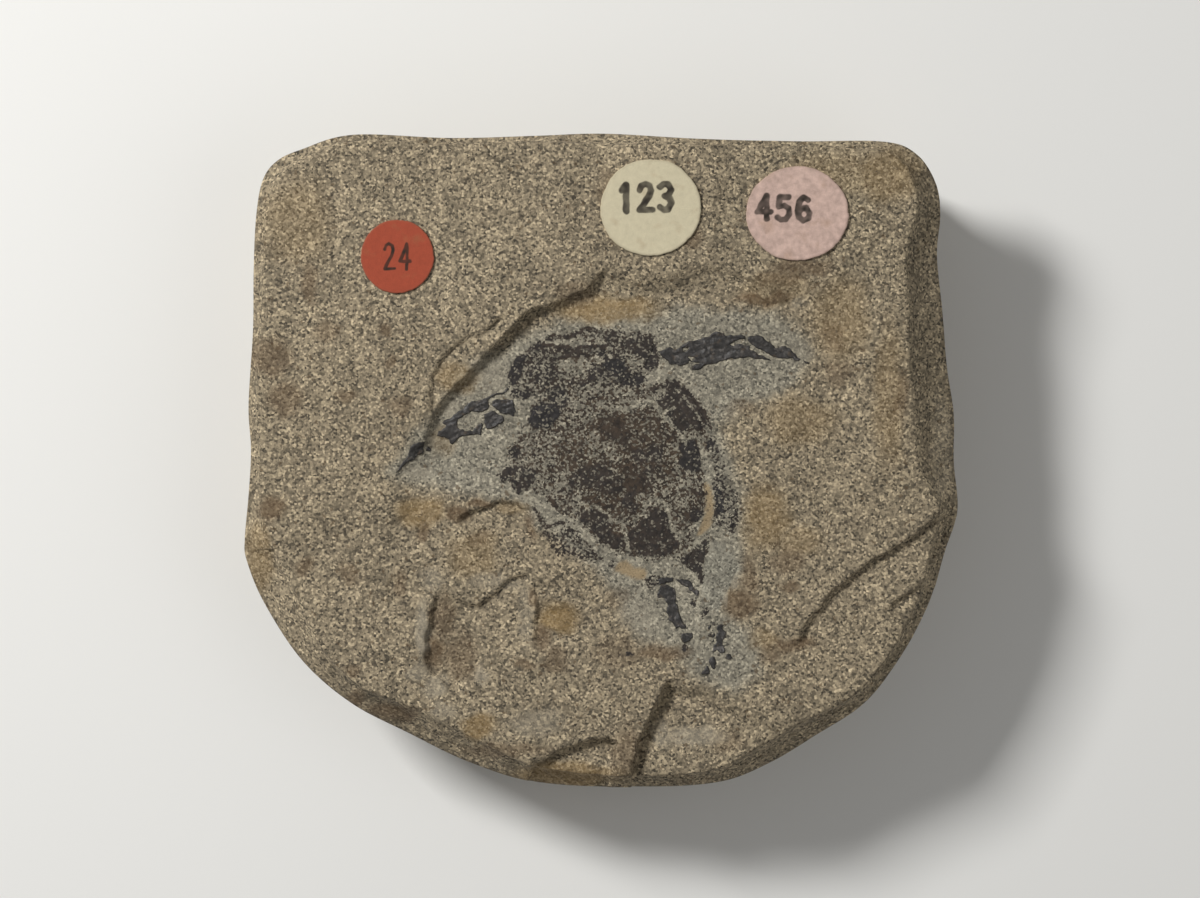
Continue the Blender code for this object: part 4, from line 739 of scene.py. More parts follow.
class FossilSettings(bpy.types.PropertyGroup):
    """Sizes and colours that a user may change."""

    grain: FloatProperty(name="Grain", description="Size of the sand grains", subtype="DISTANCE",
                         unit="LENGTH", default=0.27 * MM, min=0.1 * MM, max=1.0 * MM)
    relief: FloatProperty(name="Grain relief", description="How rough the grains make the stone",
                          subtype="DISTANCE", unit="LENGTH", default=0.10 * MM, min=0.0, max=0.5 * MM)
    stone: colour("Sandstone", "897C65", "Colour of the weathered stone")
    halo: colour("Clean stone", "878273", "Colour of the grey stone round the fish")
    film: colour("Armour", "242120", "Colour of the thin armour of head and trunk")
    bone: colour("Bone", "35322F", "Colour of the solid bone of arms and tail")
    orange_paper: colour("Orange paper", "9B442C", "Colour of the orange label")
    cream_paper: colour("Cream paper", "C4BA9D", "Colour of the cream label")
    pink_paper: colour("Pink paper", "BEA396", "Colour of the pink label")
    ink: colour("Ink", "231C13", "Colour of the ink on the labels")


def rough(x, y, layers):
    """Sum of soft noises, each turned its own way: height * noise(turned place / size)."""
    total = 0.0 * x
    for size, height, seed in layers:
        u = (x * math.cos(seed) + y * math.sin(seed)) / size
        v = (y * math.cos(seed) - x * math.sin(seed)) / size
        total = total + height * soft_noise(u + 40, v + 40, seed)
    return total


def ragged(x, y, layers):
    """Places shifted by noise, which makes lines drawn through them ragged."""
    return x + rough(x, y, layers), y + rough(y + 17.0, x - 9.0, layers)


def chipped(x, y, level, layers):
    """Depth from 0 to about 1 of the chips in a broken side: noise(place + drift * level)."""
    most = sum(height for _, height, _ in layers)
    return 0.5 + 0.5 * rough(x + 1.7 * level, y + 1.3 * level, layers) / most


def depth_inside(x, y, outline):
    """How deep a place lies inside an outline, less than 0 outside it."""
    line = np.array(outline, dtype=float)
    away = np.abs(line_distance(x, y, line, closed=True)[0])
    inside = np.zeros(x.shape, dtype=bool)
    for (ax, ay), (bx, by) in zip(line, np.roll(line, -1, 0)):
        if ay != by:
            crossed = (ay > y) != (by > y)
            inside ^= crossed & (x < ax + (y - ay) * (bx - ax) / (by - ay))
    return np.where(inside, away, -away)


def near_line(x, y, line, half_width, edge):
    """1 on a line, falling to 0 over the edge's width outside its half width."""
    gap = np.abs(line_distance(x, y, np.array(line, dtype=float))[0])
    return smooth_step((half_width + edge - gap) / edge)


def away_from(x, y, spot):
    """Distance from a round spot's middle, 1 on its edge."""
    middle_x, middle_y, half_width, half_height = spot
    return np.hypot((x - middle_x) / half_width, (y - middle_y) / half_height)


def film_share(x, y):
    """Share of the stone that bone film covers, and how brown the film is."""
    x, y = ragged(x, y, FILM_RAGGED)
    share = 0.0 * x
    brown = 0.0 * x + 0.5
    for outline, cover, edge, tint in FILM_AREAS:
        weight = smooth_step(depth_inside(x, y, outline) / edge + 0.5)
        share = share + (cover - share) * weight
        brown = brown + (tint - brown) * weight
    for *spot, cover, tint in FILM_SPOTS:
        weight = smooth_step((SPOT_REACH[0] - away_from(x, y, spot)) / SPOT_REACH[1])
        share = share + (cover - share) * weight
        brown = brown + (tint - brown) * weight
    for line, half_width, strength in DARK_LINES:
        share = share + (1.0 - share) * strength * near_line(x, y, line, half_width, LINE_EDGE)
    for line, half_width, strength in PALE_LINES:
        share = share * (1.0 - strength * near_line(x, y, line, half_width, LINE_EDGE))
    return np.clip(share, 0.0, 1.0), brown


def stains_and_ledge_shade(x, y, kind):
    """Strength of one kind of stain; the brown kind also holds painted shade along ledges and cracks."""
    x, y = ragged(x, y, STAIN_RAGGED)
    total = 0.0 * x
    for *spot, strength in STAINS_AND_LEDGE_SHADE[kind]:
        near = smooth_step((STAIN_REACH[0] - away_from(x, y, spot)) / STAIN_REACH[1])
        total = np.maximum(total, strength * near)
    return total


def stone_marks(x, y):
    """Values that colour the stone at each place."""
    share, brown = film_share(x, y)
    halo_x, halo_y = ragged(x, y, STAIN_RAGGED)
    halo = smooth_step(depth_inside(halo_x, halo_y, GREY_HALO) / HALO_EDGE + 0.5)
    clean = smooth_step(depth_inside(x, y, CLEAN_PATCH) / CLEAN_EDGE + 0.5)
    tan = 0.0 * x
    for outline in TAN_PATCHES:
        tan = np.maximum(tan, smooth_step(depth_inside(x, y, outline) / TAN_EDGE + 0.5))
    # brown holds iron stains and painted shade along ledges and cracks.
    return {"film": share, "warm": brown, "halo": np.maximum(HALO_SHARE * halo, clean), "tan": tan,
            "brown": stains_and_ledge_shade(x, y, "brown") * (1 - clean), "gold": stains_and_ledge_shade(x, y, "gold"),
            "pale": stains_and_ledge_shade(x, y, "pale")}


def fine_top(x, y):
    """Height of the stone with ragged ledges, small marks and the lumps of its grain."""
    shifted_x, shifted_y = ragged(x, y, LEDGE_RAGGED)
    height = stone_top(shifted_x, shifted_y)
    for points, depth, reach, fade in SMALL_MARKS:
        line = smooth_line(points, closed=False, steps=3)
        distance, place = line_distance(shifted_x, shifted_y, line)
        length = np.hypot(*np.diff(line, axis=0).T).sum()
        ends = smooth_step(place * length / fade) * smooth_step((1 - place) * length / fade)
        fallen = smooth_step(distance / MARK_EDGE + 0.5)
        height = height - depth * ends * fallen * np.exp(-np.maximum(distance, 0) / reach)
    return height + rough(x, y, LUMPS)


def add_piece(name, shape, material, marks, node):
    """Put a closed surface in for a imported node: its points in mm, blocks of faces, their
    places on the bake map, and the values that its material reads at each point."""
    points, faces, places = shape
    mesh = bpy.data.meshes.new(name)
    mesh.from_pydata((points * MM).tolist(), [], [row for block in faces for row in block.tolist()])
    layer = mesh.uv_layers.new(name="OFBake")
    layer.data.foreach_set("uv", np.vstack([block.reshape(-1, 2) for block in places]).ravel())
    for key, values in marks.items():
        attribute = mesh.attributes.new(key, "FLOAT", "POINT")
        attribute.data.foreach_set("value", np.asarray(values, dtype=np.float32).ravel())
    mesh.shade_smooth()
    mesh.materials.append(material)
    piece = bpy.data.objects.new(name, mesh)
    bpy.context.scene.collection.objects.link(piece)
    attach(piece, "root")
    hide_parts(node)


def map_place(values, low, high):
    """Values carried from their own range to a stretch of the bake map."""
    span = max(values.max() - values.min(), 1e-9)
    return low + (values - values.min()) / span * (high - low)


def closed_sheet(x, y, top, bottom, keep):
    """A grid surface over the kept cells, closed below: its shape and the points it uses."""
    for _ in range(4):
        first = keep[:-1, :-1] & keep[1:, 1:] & ~keep[:-1, 1:] & ~keep[1:, :-1]
        second = keep[:-1, 1:] & keep[1:, :-1] & ~keep[:-1, :-1] & ~keep[1:, 1:]
        keep[:-1, 1:] |= first
        keep[:-1, :-1] |= second
    row, column = np.nonzero(keep)
    number = np.arange(x.size).reshape(x.shape)
    corners = np.column_stack([number[row, column], number[row, column + 1],
                               number[row + 1, column + 1], number[row + 1, column]])
    ring = np.pad(keep, 1)
    walls = []
    for step_row, step_column, start in ((-1, 0, 0), (0, 1, 1), (1, 0, 2), (0, -1, 3)):
        open_side = ~ring[row + 1 + step_row, column + 1 + step_column]
        begin = corners[open_side, start]
        end = corners[open_side, (start + 1) % 4]
        walls.append(np.column_stack([end, begin, begin + x.size, end + x.size]))
    walls = np.vstack(walls)
    faces = [corners, corners[:, ::-1] + x.size, walls]
    flat_x = np.tile(x.ravel(), 2)
    flat_y = np.tile(y.ravel(), 2)
    u = map_place(flat_x, 0.01, 0.99)
    v = map_place(flat_y, 0.14, 0.99)
    along = 0.52 + 0.47 * np.arange(len(walls)) / len(walls)
    step = 0.4 / len(walls)
    wall_u = np.column_stack([along + step, along, along, along + step])
    wall_v = np.tile([0.12, 0.12, 0.01, 0.01], (len(walls), 1))
    places = [np.stack([u[corners], v[corners]], axis=-1),
              np.stack([0.01 + (u[faces[1]] - 0.01) * 0.48, 0.01 + (v[faces[1]] - 0.14) * 0.12], axis=-1),
              np.stack([wall_u, wall_v], axis=-1)]
    used, fresh = np.unique(np.concatenate([face.ravel() for face in faces]), return_inverse=True)
    cuts = np.cumsum([face.size for face in faces])[:-1]
    faces = [part.reshape(-1, 4) for part in np.split(fresh, cuts)]
    height = np.concatenate([top.ravel(), bottom.ravel()])
    return (np.column_stack([flat_x, flat_y, height])[used], faces, places), used


def upper_face(upper_edge, start):
    """Points of the square grid: place = share * edge(station), height = fine_top(place)."""
    row, column = np.mgrid[0:TOP_CELLS + 1, 0:TOP_CELLS + 1]
    u = 2.0 * column / TOP_CELLS - 1
    v = 2.0 * row / TOP_CELLS - 1
    share = np.maximum(np.abs(u), np.abs(v))
    a = u / np.maximum(share, 1e-9)
    b = v / np.maximum(share, 1e-9)
    around = np.select([b > 0.99999, a > 0.99999, b < -0.99999],
                       [(a + 1) / 2, 1 + (1 - b) / 2, 2 + (1 - a) / 2], 3 + (b + 1) / 2)
    knots = np.arange(len(start) + 1)
    edge_x, edge_y, edge_z = (np.interp(around * TOP_CELLS, knots, np.append(values, values[0]))
                              for values in (*upper_edge.T, start))
    x = share * edge_x
    y = share * edge_y
    blend = np.where(share > 0.9999, 0, smooth_step((1 - share) * 40))
    z = edge_z + (fine_top(x, y) - edge_z) * blend
    return np.column_stack([x.ravel(), y.ravel(), z.ravel()])


def side_rings(rim, start):
    """Inset from the silhouette and height of each ring, from below the rim to the foot.

    Rim: inset = width * (1 - t), height = start - fall * t, less the chips in it.
    Side: inset = breaks + chips + layers of the stone.  Foot: the inset grows to the underside.
    """
    x, y, width, fall = rim.T
    for step in range(1, RIM_ROWS + 1):
        t = step / RIM_ROWS
        level = start - fall * t
        chip = chipped(x, y, level, RIM_CHIPS)
        dent = RIM_CHIP_DEPTH * chip * np.minimum(width, RIM_CHIP_REACH) * 4 * t * (1 - t)
        yield width * (1 - t) + dent, level - RIM_CHIP_DROP * chip * np.sin(math.pi * t)
    widest = start - fall
    for step in range(1, SIDE_ROWS + 1):
        t = step / SIDE_ROWS
        level = widest + (SIDE_FOOT_HEIGHT - widest) * t
        layer = LAYER_DEPTH * (1 + soft_noise(level / LAYER_HEIGHT, x / 9 + y / 7, 85))
        uneven = SIDE_CHIP_DEPTH * chipped(x, y, level, SIDE_CHIPS) + layer
        inset = side_inset(x, y, t + 0.0 * x) + uneven * smooth_step(t / 0.15)
        yield inset, level
    foot = FOOT_INSET + 0.7 * soft_noise(x / 10.0, y / 10.0, 22)
    for step in range(1, FOOT_ROWS + 1):
        t = step / FOOT_ROWS
        yield inset + (foot - inset) * t ** 1.4, level * (1 - t)


def slab_shape():
    """The whole stone as one closed surface: upper face, broken rim and sides, underside."""
    rim = slab_rim()
    normal = outward(rim)
    upper_edge = rim[:, :2] - normal * rim[:, 2:3]
    start = stone_top(*upper_edge.T) - EDGE_WEAR
    rings = [np.column_stack([rim[:, :2] - normal * np.maximum(inset, RIM_MARGIN)[:, None], level])
             for inset, level in side_rings(rim, start)]
    points = [upper_face(upper_edge, start), *rings, np.array([[0.0, 0.0, 0.0]])]
    number = np.arange((TOP_CELLS + 1) ** 2).reshape(TOP_CELLS + 1, TOP_CELLS + 1)
    ring = np.concatenate([number[-1, :-1], number[:0:-1, -1], number[0, :0:-1], number[:-1, 0]])
    quads = np.column_stack([number[:-1, :-1].ravel(), number[:-1, 1:].ravel(),
                             number[1:, 1:].ravel(), number[1:, :-1].ravel()])
    count = len(ring)
    half = count // 2
    steps = np.arange(count)
    strip = (steps >= half).astype(float)
    left = 0.01 + 0.98 * (steps - strip * half) / half
    right = left + 0.98 / half
    walls = []
    wall_places = []
    for level in range(len(rings)):
        below = number.size + level * count + steps
        walls.append(np.column_stack([ring, np.roll(ring, -1), np.roll(below, -1), below]))
        high = 0.13 - 0.12 * level / len(rings) + 0.13 * strip
        low = 0.13 - 0.12 * (level + 1) / len(rings) + 0.13 * strip
        wall_places.append(np.stack([np.column_stack([left, right, right, left]),
                                     np.column_stack([high, high, low, low])], axis=-1))
        ring = below
    middle = number.size + len(rings) * count
    under = np.column_stack([np.full(count, middle), ring, np.roll(ring, -1)])
    points = np.vstack(points)
    low_corner = np.array(CAD_BOX[0]) / MM + BOX_MARGIN
    high_corner = np.array(CAD_BOX[1]) / MM - BOX_MARGIN
    points[:, :2] = np.clip(points[:, :2], low_corner[:2], high_corner[:2])
    points[:, 2] = np.clip(points[:, 2], 0.0, high_corner[2])
    u = map_place(points[:, 0], 0.01, 0.79)
    v = map_place(points[:, 1], 0.28, 0.99)
    under_place = np.stack([0.81 + (u[under] - 0.01) * 0.23, 0.28 + (v[under] - 0.28) * 0.25], axis=-1)
    places = [np.stack([u[quads], v[quads]], axis=-1), *wall_places, under_place]
    return points, [quads, *walls, under], places


def build_slab(settings):
    """Dress the stone in its sandstone."""
    shape = slab_shape()
    points = shape[0]
    marks = stone_marks(points[:, 0], points[:, 1])
    for key in ("film", "halo", "tan", "pale"):
        marks[key][points[:, 2] < BED_HEIGHT - STAIN_DEPTH] = 0.0
    add_piece("sandstone_slab", shape, sandstone_look(settings), marks, "slab")


def grid_over(outlines, cell):
    """A square grid that covers outlines."""
    knots = np.vstack([np.array(outline, dtype=float) for outline in outlines])
    low = knots.min(axis=0) - GRID_MARGIN
    high = knots.max(axis=0) + GRID_MARGIN
    return np.meshgrid(np.arange(low[0], high[0], cell), np.arange(low[1], high[1], cell))


def crust(x, y, lift, inside, depth, reach):
    """A crust on the stone: surface + lift inside, sunk below the surface outside, closed
    below, and cut where the outline's inside is further off than the reach."""
    surface = fine_top(x, y)
    top = surface - CRUST_SUNK * (1 - inside) + lift * inside
    near = depth > -reach
    keep = near[:-1, :-1] | near[1:, :-1] | near[:-1, 1:] | near[1:, 1:]
    return closed_sheet(x, y, top, surface - CRUST_DEPTH, keep)


def build_armour(settings):
    """Thin crushed plates: lift = proud * the share that the film covers + its unevenness."""
    material = sandstone_look(settings)
    for node, (outline, cell) in ARMOUR.items():
        x, y = grid_over([outline], cell)
        depth = depth_inside(*ragged(x, y, FILM_RAGGED), outline)
        marks = stone_marks(x, y)
        lift = ARMOUR_LEAST + ARMOUR_PROUD * marks["film"] + rough(x, y, ARMOUR_UNEVEN)
        shape, used = crust(x, y, lift, smooth_step(depth / ARMOUR_EDGE), depth, ARMOUR_REACH)
        values = {key: np.tile(value.ravel(), 2)[used] for key, value in marks.items()}
        add_piece(node + "_bone", shape, material, values, node)


def build_bones(settings):
    """Solid dark bone: lift = proud + streaks along the bone + its unevenness."""
    material = bone_look(settings)
    for node, (flakes, gaps, axis, cell) in BONES.items():
        x, y = grid_over(flakes, cell)
        shifted = ragged(x, y, BONE_RAGGED)
        depth = np.max([depth_inside(*shifted, flake) for flake in flakes], axis=0)
        for gap in gaps:
            depth = np.minimum(depth, -depth_inside(*shifted, gap))
        line = np.array(axis, dtype=float)
        across, place = line_distance(x, y, line)
        length = np.hypot(*np.diff(line, axis=0).T).sum()
        streak = soft_noise(place * length / STREAK_LENGTH + 9, across / STREAK_WIDTH + 20, 95)
        lift = BONE_PROUD + STREAK_HEIGHT * streak + rough(x, y, BONE_UNEVEN)
        inside = smooth_step((depth + BONE_EDGE[0]) / BONE_EDGE[1])
        shape, used = crust(x, y, lift, inside, depth, BONE_REACH)
        values = {"streak": np.tile((0.5 + 0.5 * streak).ravel(), 2)[used]}
        add_piece(node + "_bone", shape, material, values, node)


def number_ink(x, y, node):
    """1 on the strokes of a label's number, fading over the edge of a stroke."""
    figures, (left, foot), wide, high, space, drop, half_width = NUMBERS[node]
    x, y = ragged(x, y, INK_RAGGED)
    ink = 0.0 * x
    for place, figure in enumerate(figures):
        for stroke in DIGITS[figure]:
            line = [(left + place * (wide + space) + across * wide,
                     foot + place * drop + up / DIGIT_HEIGHT * high) for across, up in stroke]
            ink = np.maximum(ink, near_line(x, y, line, half_width, INK_EDGE))
    return ink * (INK_STRENGTH[0] + INK_STRENGTH[1] * rough(x, y, INK_WORN))


def build_labels(settings):
    """Rounds of thin paper: place = middle + share * rim(angle), level above the stone."""
    steps = np.linspace(-1.0, 1.0, LABEL_CELLS + 1)
    u, v = np.meshgrid(steps, steps)
    share = np.maximum(np.abs(u), np.abs(v))
    angle = np.arctan2(v, u)
    turned = -np.mod(-angle, 2 * math.pi)
    rounding = PAPER_ROUNDING * smooth_step((share - 1 + PAPER_RIM) / PAPER_RIM)
    for node, (middle_x, middle_y, half_width, half_height, uneven) in LABELS.items():
        wobble = PAPER_TRIM + uneven * soft_noise(turned * 2.5 + 20, turned * 0 + len(node), 31)
        wobble = wobble - PAPER_NICKS * (1 + soft_noise(angle * 14, angle * 0 + 3, 33))
        x = middle_x + share * half_width * wobble * np.cos(angle)
        y = middle_y + share * half_height * wobble * np.sin(angle)
        level = stone_top(np.array([middle_x]), np.array([middle_y]))[0]
        top = level + LABEL_THICKNESS - rounding + rough(x, y, PAPER_WAVES)
        keep = np.ones((LABEL_CELLS, LABEL_CELLS), dtype=bool)
        shape, used = closed_sheet(x, y, top, 0.0 * x + level - PAPER_SUNK, keep)
        ink = number_ink(x - middle_x, y - middle_y, node)
        values = {"ink": np.tile(ink.ravel(), 2)[used], "rim": np.tile(share.ravel(), 2)[used]}
        slot = node.replace("label_", "") + "_paper"
        add_piece(slot + "_label", shape, paper_look(settings, slot), values, node)


def new_look(name):
    """An empty material and a function that adds a node to it.

    add(kind, sockets, output, settings) fills the sockets with values or other nodes' outputs,
    sets the settings, with the stops of a ramp among them, and gives the output named.
    """
    material = bpy.data.materials.new(name)
    material.use_nodes = True
    tree = material.node_tree
    shader = tree.nodes["Principled BSDF"]

    def fill(node, sockets):
        for key, value in sockets.items():
            if isinstance(value, bpy.types.NodeSocket):
                tree.links.new(value, node.inputs[key])
            else:
                node.inputs[key].default_value = value

    def add(kind, sockets, output=0, **settings):
        node = tree.nodes.new("ShaderNode" + kind)
        for place, (where, look) in enumerate(settings.pop("stops", [])):
            bands = node.color_ramp.elements
            band = bands[place] if place < len(bands) else bands.new(where)
            band.position = where
            band.color = look
        for key, value in settings.items():
            setattr(node, key, value)
        fill(node, sockets)
        return node.outputs[output]

    def finish(**sockets):
        fill(shader, {key.replace("_", " "): value for key, value in sockets.items()})
        return material

    return add, finish


def sandstone_look(settings):
    """Sandstone split along its bedding and left unpolished, with the film of bone on it.

    Each grain takes a random shade, and is dark where its value lies below the film's share.
    The grains scatter the light, so the stone is matt with a default IOR.
    """
    name = "Split sandstone with bone film"
    if name in bpy.data.materials:
        return bpy.data.materials[name]
    add, finish = new_look(name)
    place = add("VectorMath", {0: add("TexCoord", {}, "Object"), "Scale": 1.0 / MM},
                operation="SCALE")
    grain = settings.grain / MM
    grains = {}
    for key, size in (("large", grain), ("small", grain * SMALL_GRAIN), *FILM_GRAINS.items()):
        random = add("TexVoronoi", {"Vector": place, "Scale": 1.0 / size}, "Color")
        grains[key] = add("SeparateColor", {0: random})
    clouds = {key: add("TexNoise", {"Vector": place, "Scale": 1.0 / size, "Detail": detail})
              for key, (size, detail) in STONE_CLOUDS.items()}
    marks = {key: add("Attribute", {}, "Fac", attribute_name=key)
             for key in ("halo", "film", "warm", *STAIN_AND_SHADE_LOOKS)}
    grown = [add("ValToRGB", {0: grains["large"]},
                 stops=[(where, shade(look, factor)) for where, factor in stops])
             for look, stops in ((settings.stone, STONE_STOPS), (settings.halo, HALO_STOPS))]
    paint = add("Mix", {0: marks["halo"], 6: grown[0], 7: grown[1]}, 2, data_type="RGBA")
    # Stains; the brown one also paints shade along ledges, cracks and hollow edges.
    for key, (strength, code) in STAIN_AND_SHADE_LOOKS.items():
        weight = add("Math", {0: marks[key], 1: strength}, operation="MULTIPLY")
        paint = add("Mix", {0: weight, 6: paint, 7: shade(code)}, 2, data_type="RGBA")
    tones = [add("Math", {0: {**clouds, **grains}[key], 1: spread, 2: low}, operation="MULTIPLY_ADD")
             for key, spread, low in STONE_TONES]
    level = add("Math", {0: tones[0], 1: tones[1]}, operation="MULTIPLY")
    level = add("Math", {0: level, 1: tones[2]}, operation="MULTIPLY")
    tone = add("CombineColor", {0: level, 1: level, 2: level})
    paint = add("Mix", {0: 1.0, 6: paint, 7: tone}, 2, data_type="RGBA", blend_type="MULTIPLY")
    speck = add("Math", {0: clouds["speck"], 1: 0.67}, operation="GREATER_THAN")
    speck = add("Math", {0: speck, 1: 0.6}, operation="MULTIPLY")
    paint = add("Mix", {0: speck, 6: paint, 7: shade("55422A")}, 2, data_type="RGBA")
    cool = add("Mix", {0: grains["cool"], 6: shade(settings.film, 0.65), 7: shade(settings.film, 1.7)},
               2, data_type="RGBA")
    warm = add("Mix", {0: grains["warm"], 6: shade("2A2118"), 7: shade("4E3F2F")}, 2,
               data_type="RGBA")
    film = add("Mix", {0: marks["warm"], 6: cool, 7: warm}, 2, data_type="RGBA")
    patchy = add("Math", {0: clouds["patchy"], 1: 0.5, 2: -0.25}, operation="MULTIPLY_ADD")
    patchy = add("Math", {0: patchy, 1: marks["film"]}, operation="MULTIPLY")
    share = add("Math", {0: marks["film"], 1: patchy}, operation="ADD")
    spare = add("Math", {0: share, 1: grains["film"]}, operation="SUBTRACT")
    covered = add("Math", {0: spare, 1: 7.0, 2: 0.5}, operation="MULTIPLY_ADD", use_clamp=True)
    dimmed = add("Math", {0: marks["film"], 1: 0.35}, operation="MULTIPLY")
    paint = add("Mix", {0: dimmed, 6: paint, 7: shade("403830")}, 2, data_type="RGBA")
    paint = add("Mix", {0: covered, 6: paint, 7: film}, 2, data_type="RGBA")
    height = add("Math", {0: grains["large"], 1: 0.6, 2: clouds["relief"]}, operation="MULTIPLY_ADD")
    height = add("Math", {0: grains["small"], 1: 0.4, 2: height}, operation="MULTIPLY_ADD")
    normal = add("Bump", {"Height": height, "Distance": settings.relief})
    return finish(Base_Color=paint, Roughness=0.85, Normal=normal)


def bone_look(settings):
    """Fossil bone as it was freed from the stone: blue-black, brittle and slightly glossy.

    Its pores and growth lines break the sheen into small glints.
    """
    add, finish = new_look("Fossil bone, freed and slightly glossy")
    place = add("VectorMath", {0: add("TexCoord", {}, "Object"), "Scale": 1.0 / MM},
                operation="SCALE")
    scales, pores = (
        add("SeparateColor", {0: add("TexVoronoi", {"Vector": place, "Scale": 1.0 / size}, "Color")})
        for size in BONE_GRAINS)
    stained, grainy = (add("TexNoise", {"Vector": place, "Scale": 1.0 / size, "Detail": 3.0})
                       for size in BONE_CLOUDS)
    paint = add("ValToRGB", {0: scales},
                stops=[(where, shade(settings.bone, factor)) for where, factor in BONE_STOPS])
    streak = add("Attribute", {}, "Fac", attribute_name="streak")
    streak = add("Math", {0: streak, 1: 0.5}, operation="MULTIPLY")
    paint = add("Mix", {0: streak, 6: paint, 7: shade(settings.bone, 0.5)}, 2, data_type="RGBA")
    rust = add("Math", {0: stained, 1: 4.0, 2: -2.35}, operation="MULTIPLY_ADD", use_clamp=True)
    rust = add("Math", {0: rust, 1: 0.6}, operation="MULTIPLY")
    paint = add("Mix", {0: rust, 6: paint, 7: shade("6A563E")}, 2, data_type="RGBA")
    height = add("Math", {0: grainy, 1: pores}, operation="ADD")
    normal = add("Bump", {"Height": height, "Distance": 0.06 * MM})
    return finish(Base_Color=paint, Roughness=0.5, Normal=normal)


def paper_look(settings, slot):
    """Aged paper cut by hand: matt and a little soiled, with the ink of a plain number."""
    add, finish = new_look(slot.replace("_", " ").capitalize() + ", aged and inked")
    place = add("VectorMath", {0: add("TexCoord", {}, "Object"), "Scale": 1.0 / MM},
                operation="SCALE")
    cloudy, fibrous, soiled, uneven = (
        add("TexNoise", {"Vector": place, "Scale": 1.0 / size, "Detail": detail})
        for size, detail in PAPER_CLOUDS)
    mottled = MOTTLING[slot]
    cloud = add("Math", {0: cloudy, 1: 0.9 * mottled, 2: 1.0 - 0.45 * mottled},
                operation="MULTIPLY_ADD")
    fibre = add("Math", {0: fibrous, 1: 0.3, 2: 0.85}, operation="MULTIPLY_ADD")
    level = add("Math", {0: cloud, 1: fibre}, operation="MULTIPLY")
    tone = add("CombineColor", {0: level, 1: level, 2: level})
    paint = add("Mix", {0: 1.0, 6: shade(getattr(settings, slot)), 7: tone}, 2,
                data_type="RGBA", blend_type="MULTIPLY")
    rim = add("Attribute", {}, "Fac", attribute_name="rim")
    for value, slope, start, strength, code in ((soiled, 3.0, -1.75, 0.5, "8C6A45"),
                                                (rim, 14.0, -13.2, 0.35, "6E5A42")):
        weight = add("Math", {0: value, 1: slope, 2: start}, operation="MULTIPLY_ADD", use_clamp=True)
        weight = add("Math", {0: weight, 1: strength}, operation="MULTIPLY")
        paint = add("Mix", {0: weight, 6: paint, 7: shade(code)}, 2, data_type="RGBA")
    ink = add("Attribute", {}, "Fac", attribute_name="ink")
    paint = add("Mix", {0: ink, 6: paint, 7: shade(settings.ink)}, 2, data_type="RGBA")
    normal = add("Bump", {"Height": uneven, "Distance": 0.03 * MM})
    return finish(Base_Color=paint, Roughness=0.9, Normal=normal)


def soft_light(name, place, size, power):
    """A square light that shines at the slab."""
    data = bpy.data.lights.new(name, "AREA")
    data.size = size
    data.energy = power
    lamp = bpy.data.objects.new(name, data)
    bpy.context.scene.collection.objects.link(lamp)
    lamp.location = place
    aim = Vector((0.0, 0.0, BED_HEIGHT * MM)) - Vector(place)
    lamp.rotation_euler = aim.to_track_quat("-Z", "Y").to_euler()


def build_stage():
    """A plain pale floor, a soft light from the upper left and a camera straight above."""
    mesh = bpy.data.meshes.new("floor")
    level = -0.02 * MM
    corners = [(side_x * FLOOR_REACH, side_y * FLOOR_REACH, level)
               for side_x, side_y in ((-1, -1), (1, -1), (1, 1), (-1, 1))]
    mesh.from_pydata(corners, [], [(0, 1, 2, 3)])
    _, finish = new_look("Matt white card")
    mesh.materials.append(finish(Base_Color=shade("E4E3DF"), Roughness=0.9))
    floor = bpy.data.objects.new("floor", mesh)
    bpy.context.scene.collection.objects.link(floor)
    soft_light("key_light", (-0.42, 0.30, 0.46), 0.16, 4.85)
    soft_light("fill_light", (0.45, -0.15, 0.55), 0.6, 0.82)
    world = bpy.data.worlds.new("Pale room")
    bpy.context.scene.world = world
    world.use_nodes = True
    world.node_tree.nodes["Background"].inputs["Color"].default_value = (1.0, 1.0, 1.0, 1.0)
    world.node_tree.nodes["Background"].inputs["Strength"].default_value = 0.195
    data = bpy.data.cameras.new("camera")
    data.sensor_width = SENSOR_WIDTH
    data.lens = CAMERA_DISTANCE / PHOTO_WIDTH * SENSOR_WIDTH
    camera = bpy.data.objects.new("camera", data)
    camera.location = (-0.00013, 0.0015, CAMERA_DISTANCE * MM + BED_HEIGHT * MM)
    bpy.context.scene.collection.objects.link(camera)
    bpy.context.scene.camera = camera
    bpy.context.scene.view_settings.view_transform = "Standard"


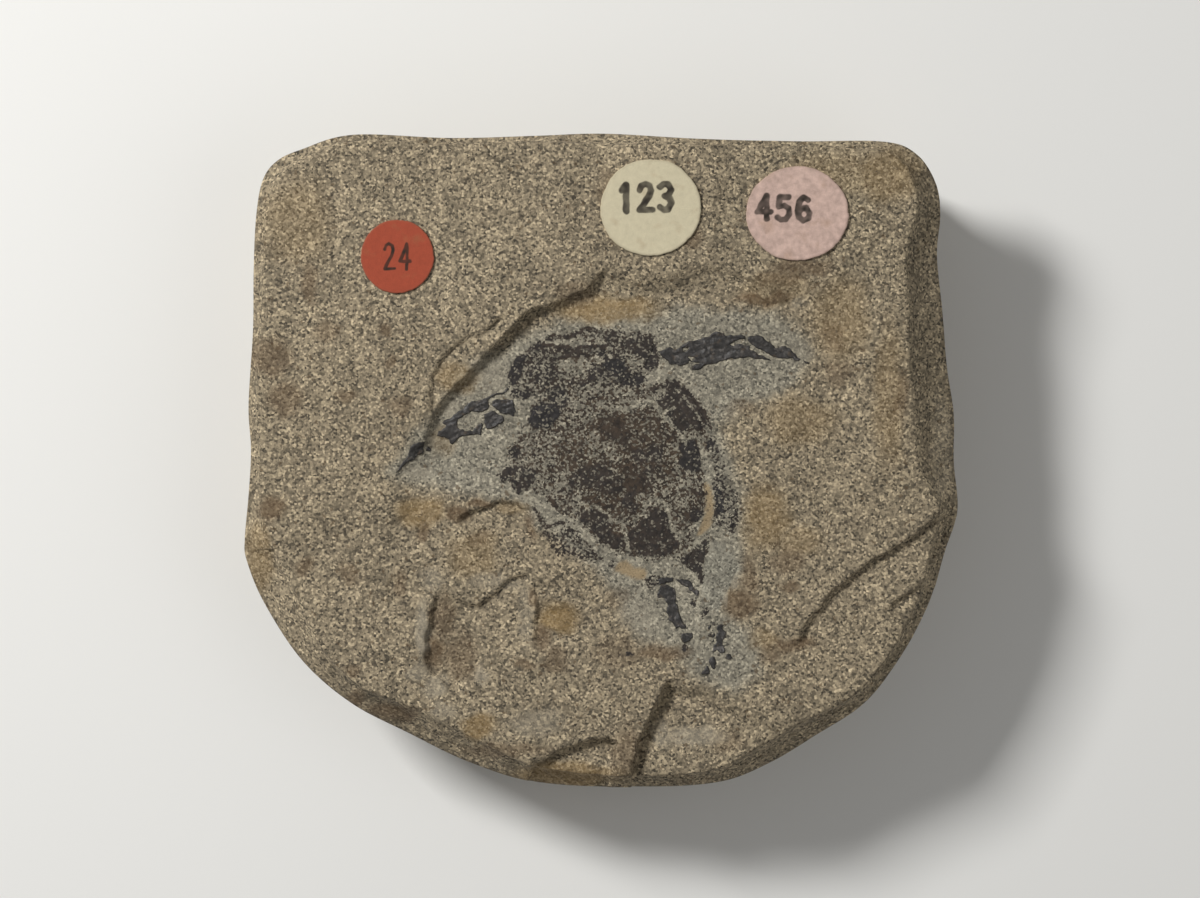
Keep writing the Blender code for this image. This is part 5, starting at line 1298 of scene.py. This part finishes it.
class FOSSIL_OT_slab(bpy.types.Operator):
    """Build the stone"""

    bl_idname = "fossil.slab"
    bl_label = "Stone"

    def execute(self, context):
        build_slab(context.scene.fossil_fish)
        return {"FINISHED"}


class FOSSIL_OT_armour(bpy.types.Operator):
    """Build the thin armour of head and trunk"""

    bl_idname = "fossil.armour"
    bl_label = "Armour"

    def execute(self, context):
        build_armour(context.scene.fossil_fish)
        return {"FINISHED"}


class FOSSIL_OT_bones(bpy.types.Operator):
    """Build the solid bones of arms and tail"""

    bl_idname = "fossil.bones"
    bl_label = "Arms and tail"

    def execute(self, context):
        build_bones(context.scene.fossil_fish)
        return {"FINISHED"}


class FOSSIL_OT_labels(bpy.types.Operator):
    """Build the paper labels"""

    bl_idname = "fossil.labels"
    bl_label = "Labels"

    def execute(self, context):
        build_labels(context.scene.fossil_fish)
        return {"FINISHED"}


class FOSSIL_OT_stage(bpy.types.Operator):
    """Set the floor, the lights and the camera"""

    bl_idname = "fossil.stage"
    bl_label = "Stage"

    def execute(self, context):
        build_stage()
        return {"FINISHED"}


class FOSSIL_PT_panel(bpy.types.Panel):
    """Settings and steps of the fossil"""

    bl_idname = "FOSSIL_PT_panel"
    bl_label = "Fossil fish"
    bl_space_type = "VIEW_3D"
    bl_region_type = "UI"
    bl_category = "Fossil fish"

    def draw(self, context):
        for key in FossilSettings.__annotations__:
            self.layout.prop(context.scene.fossil_fish, key)
        for step in STEPS:
            self.layout.operator(step.bl_idname)


STEPS = (FOSSIL_OT_slab, FOSSIL_OT_armour, FOSSIL_OT_bones, FOSSIL_OT_labels, FOSSIL_OT_stage)
CLASSES = (FossilSettings, *STEPS, FOSSIL_PT_panel)


def register():
    """Add the settings, the operators and the panel."""
    for item in CLASSES:
        bpy.utils.register_class(item)
    bpy.types.Scene.fossil_fish = PointerProperty(type=FossilSettings)


def unregister():
    """Take them out again."""
    del bpy.types.Scene.fossil_fish
    for item in reversed(CLASSES):
        bpy.utils.unregister_class(item)


def main():
    """Build every piece in order."""
    register()
    for step in STEPS:
        group, name = step.bl_idname.split(".")
        getattr(getattr(bpy.ops, group), name)()


if __name__ == "__main__":
    main()
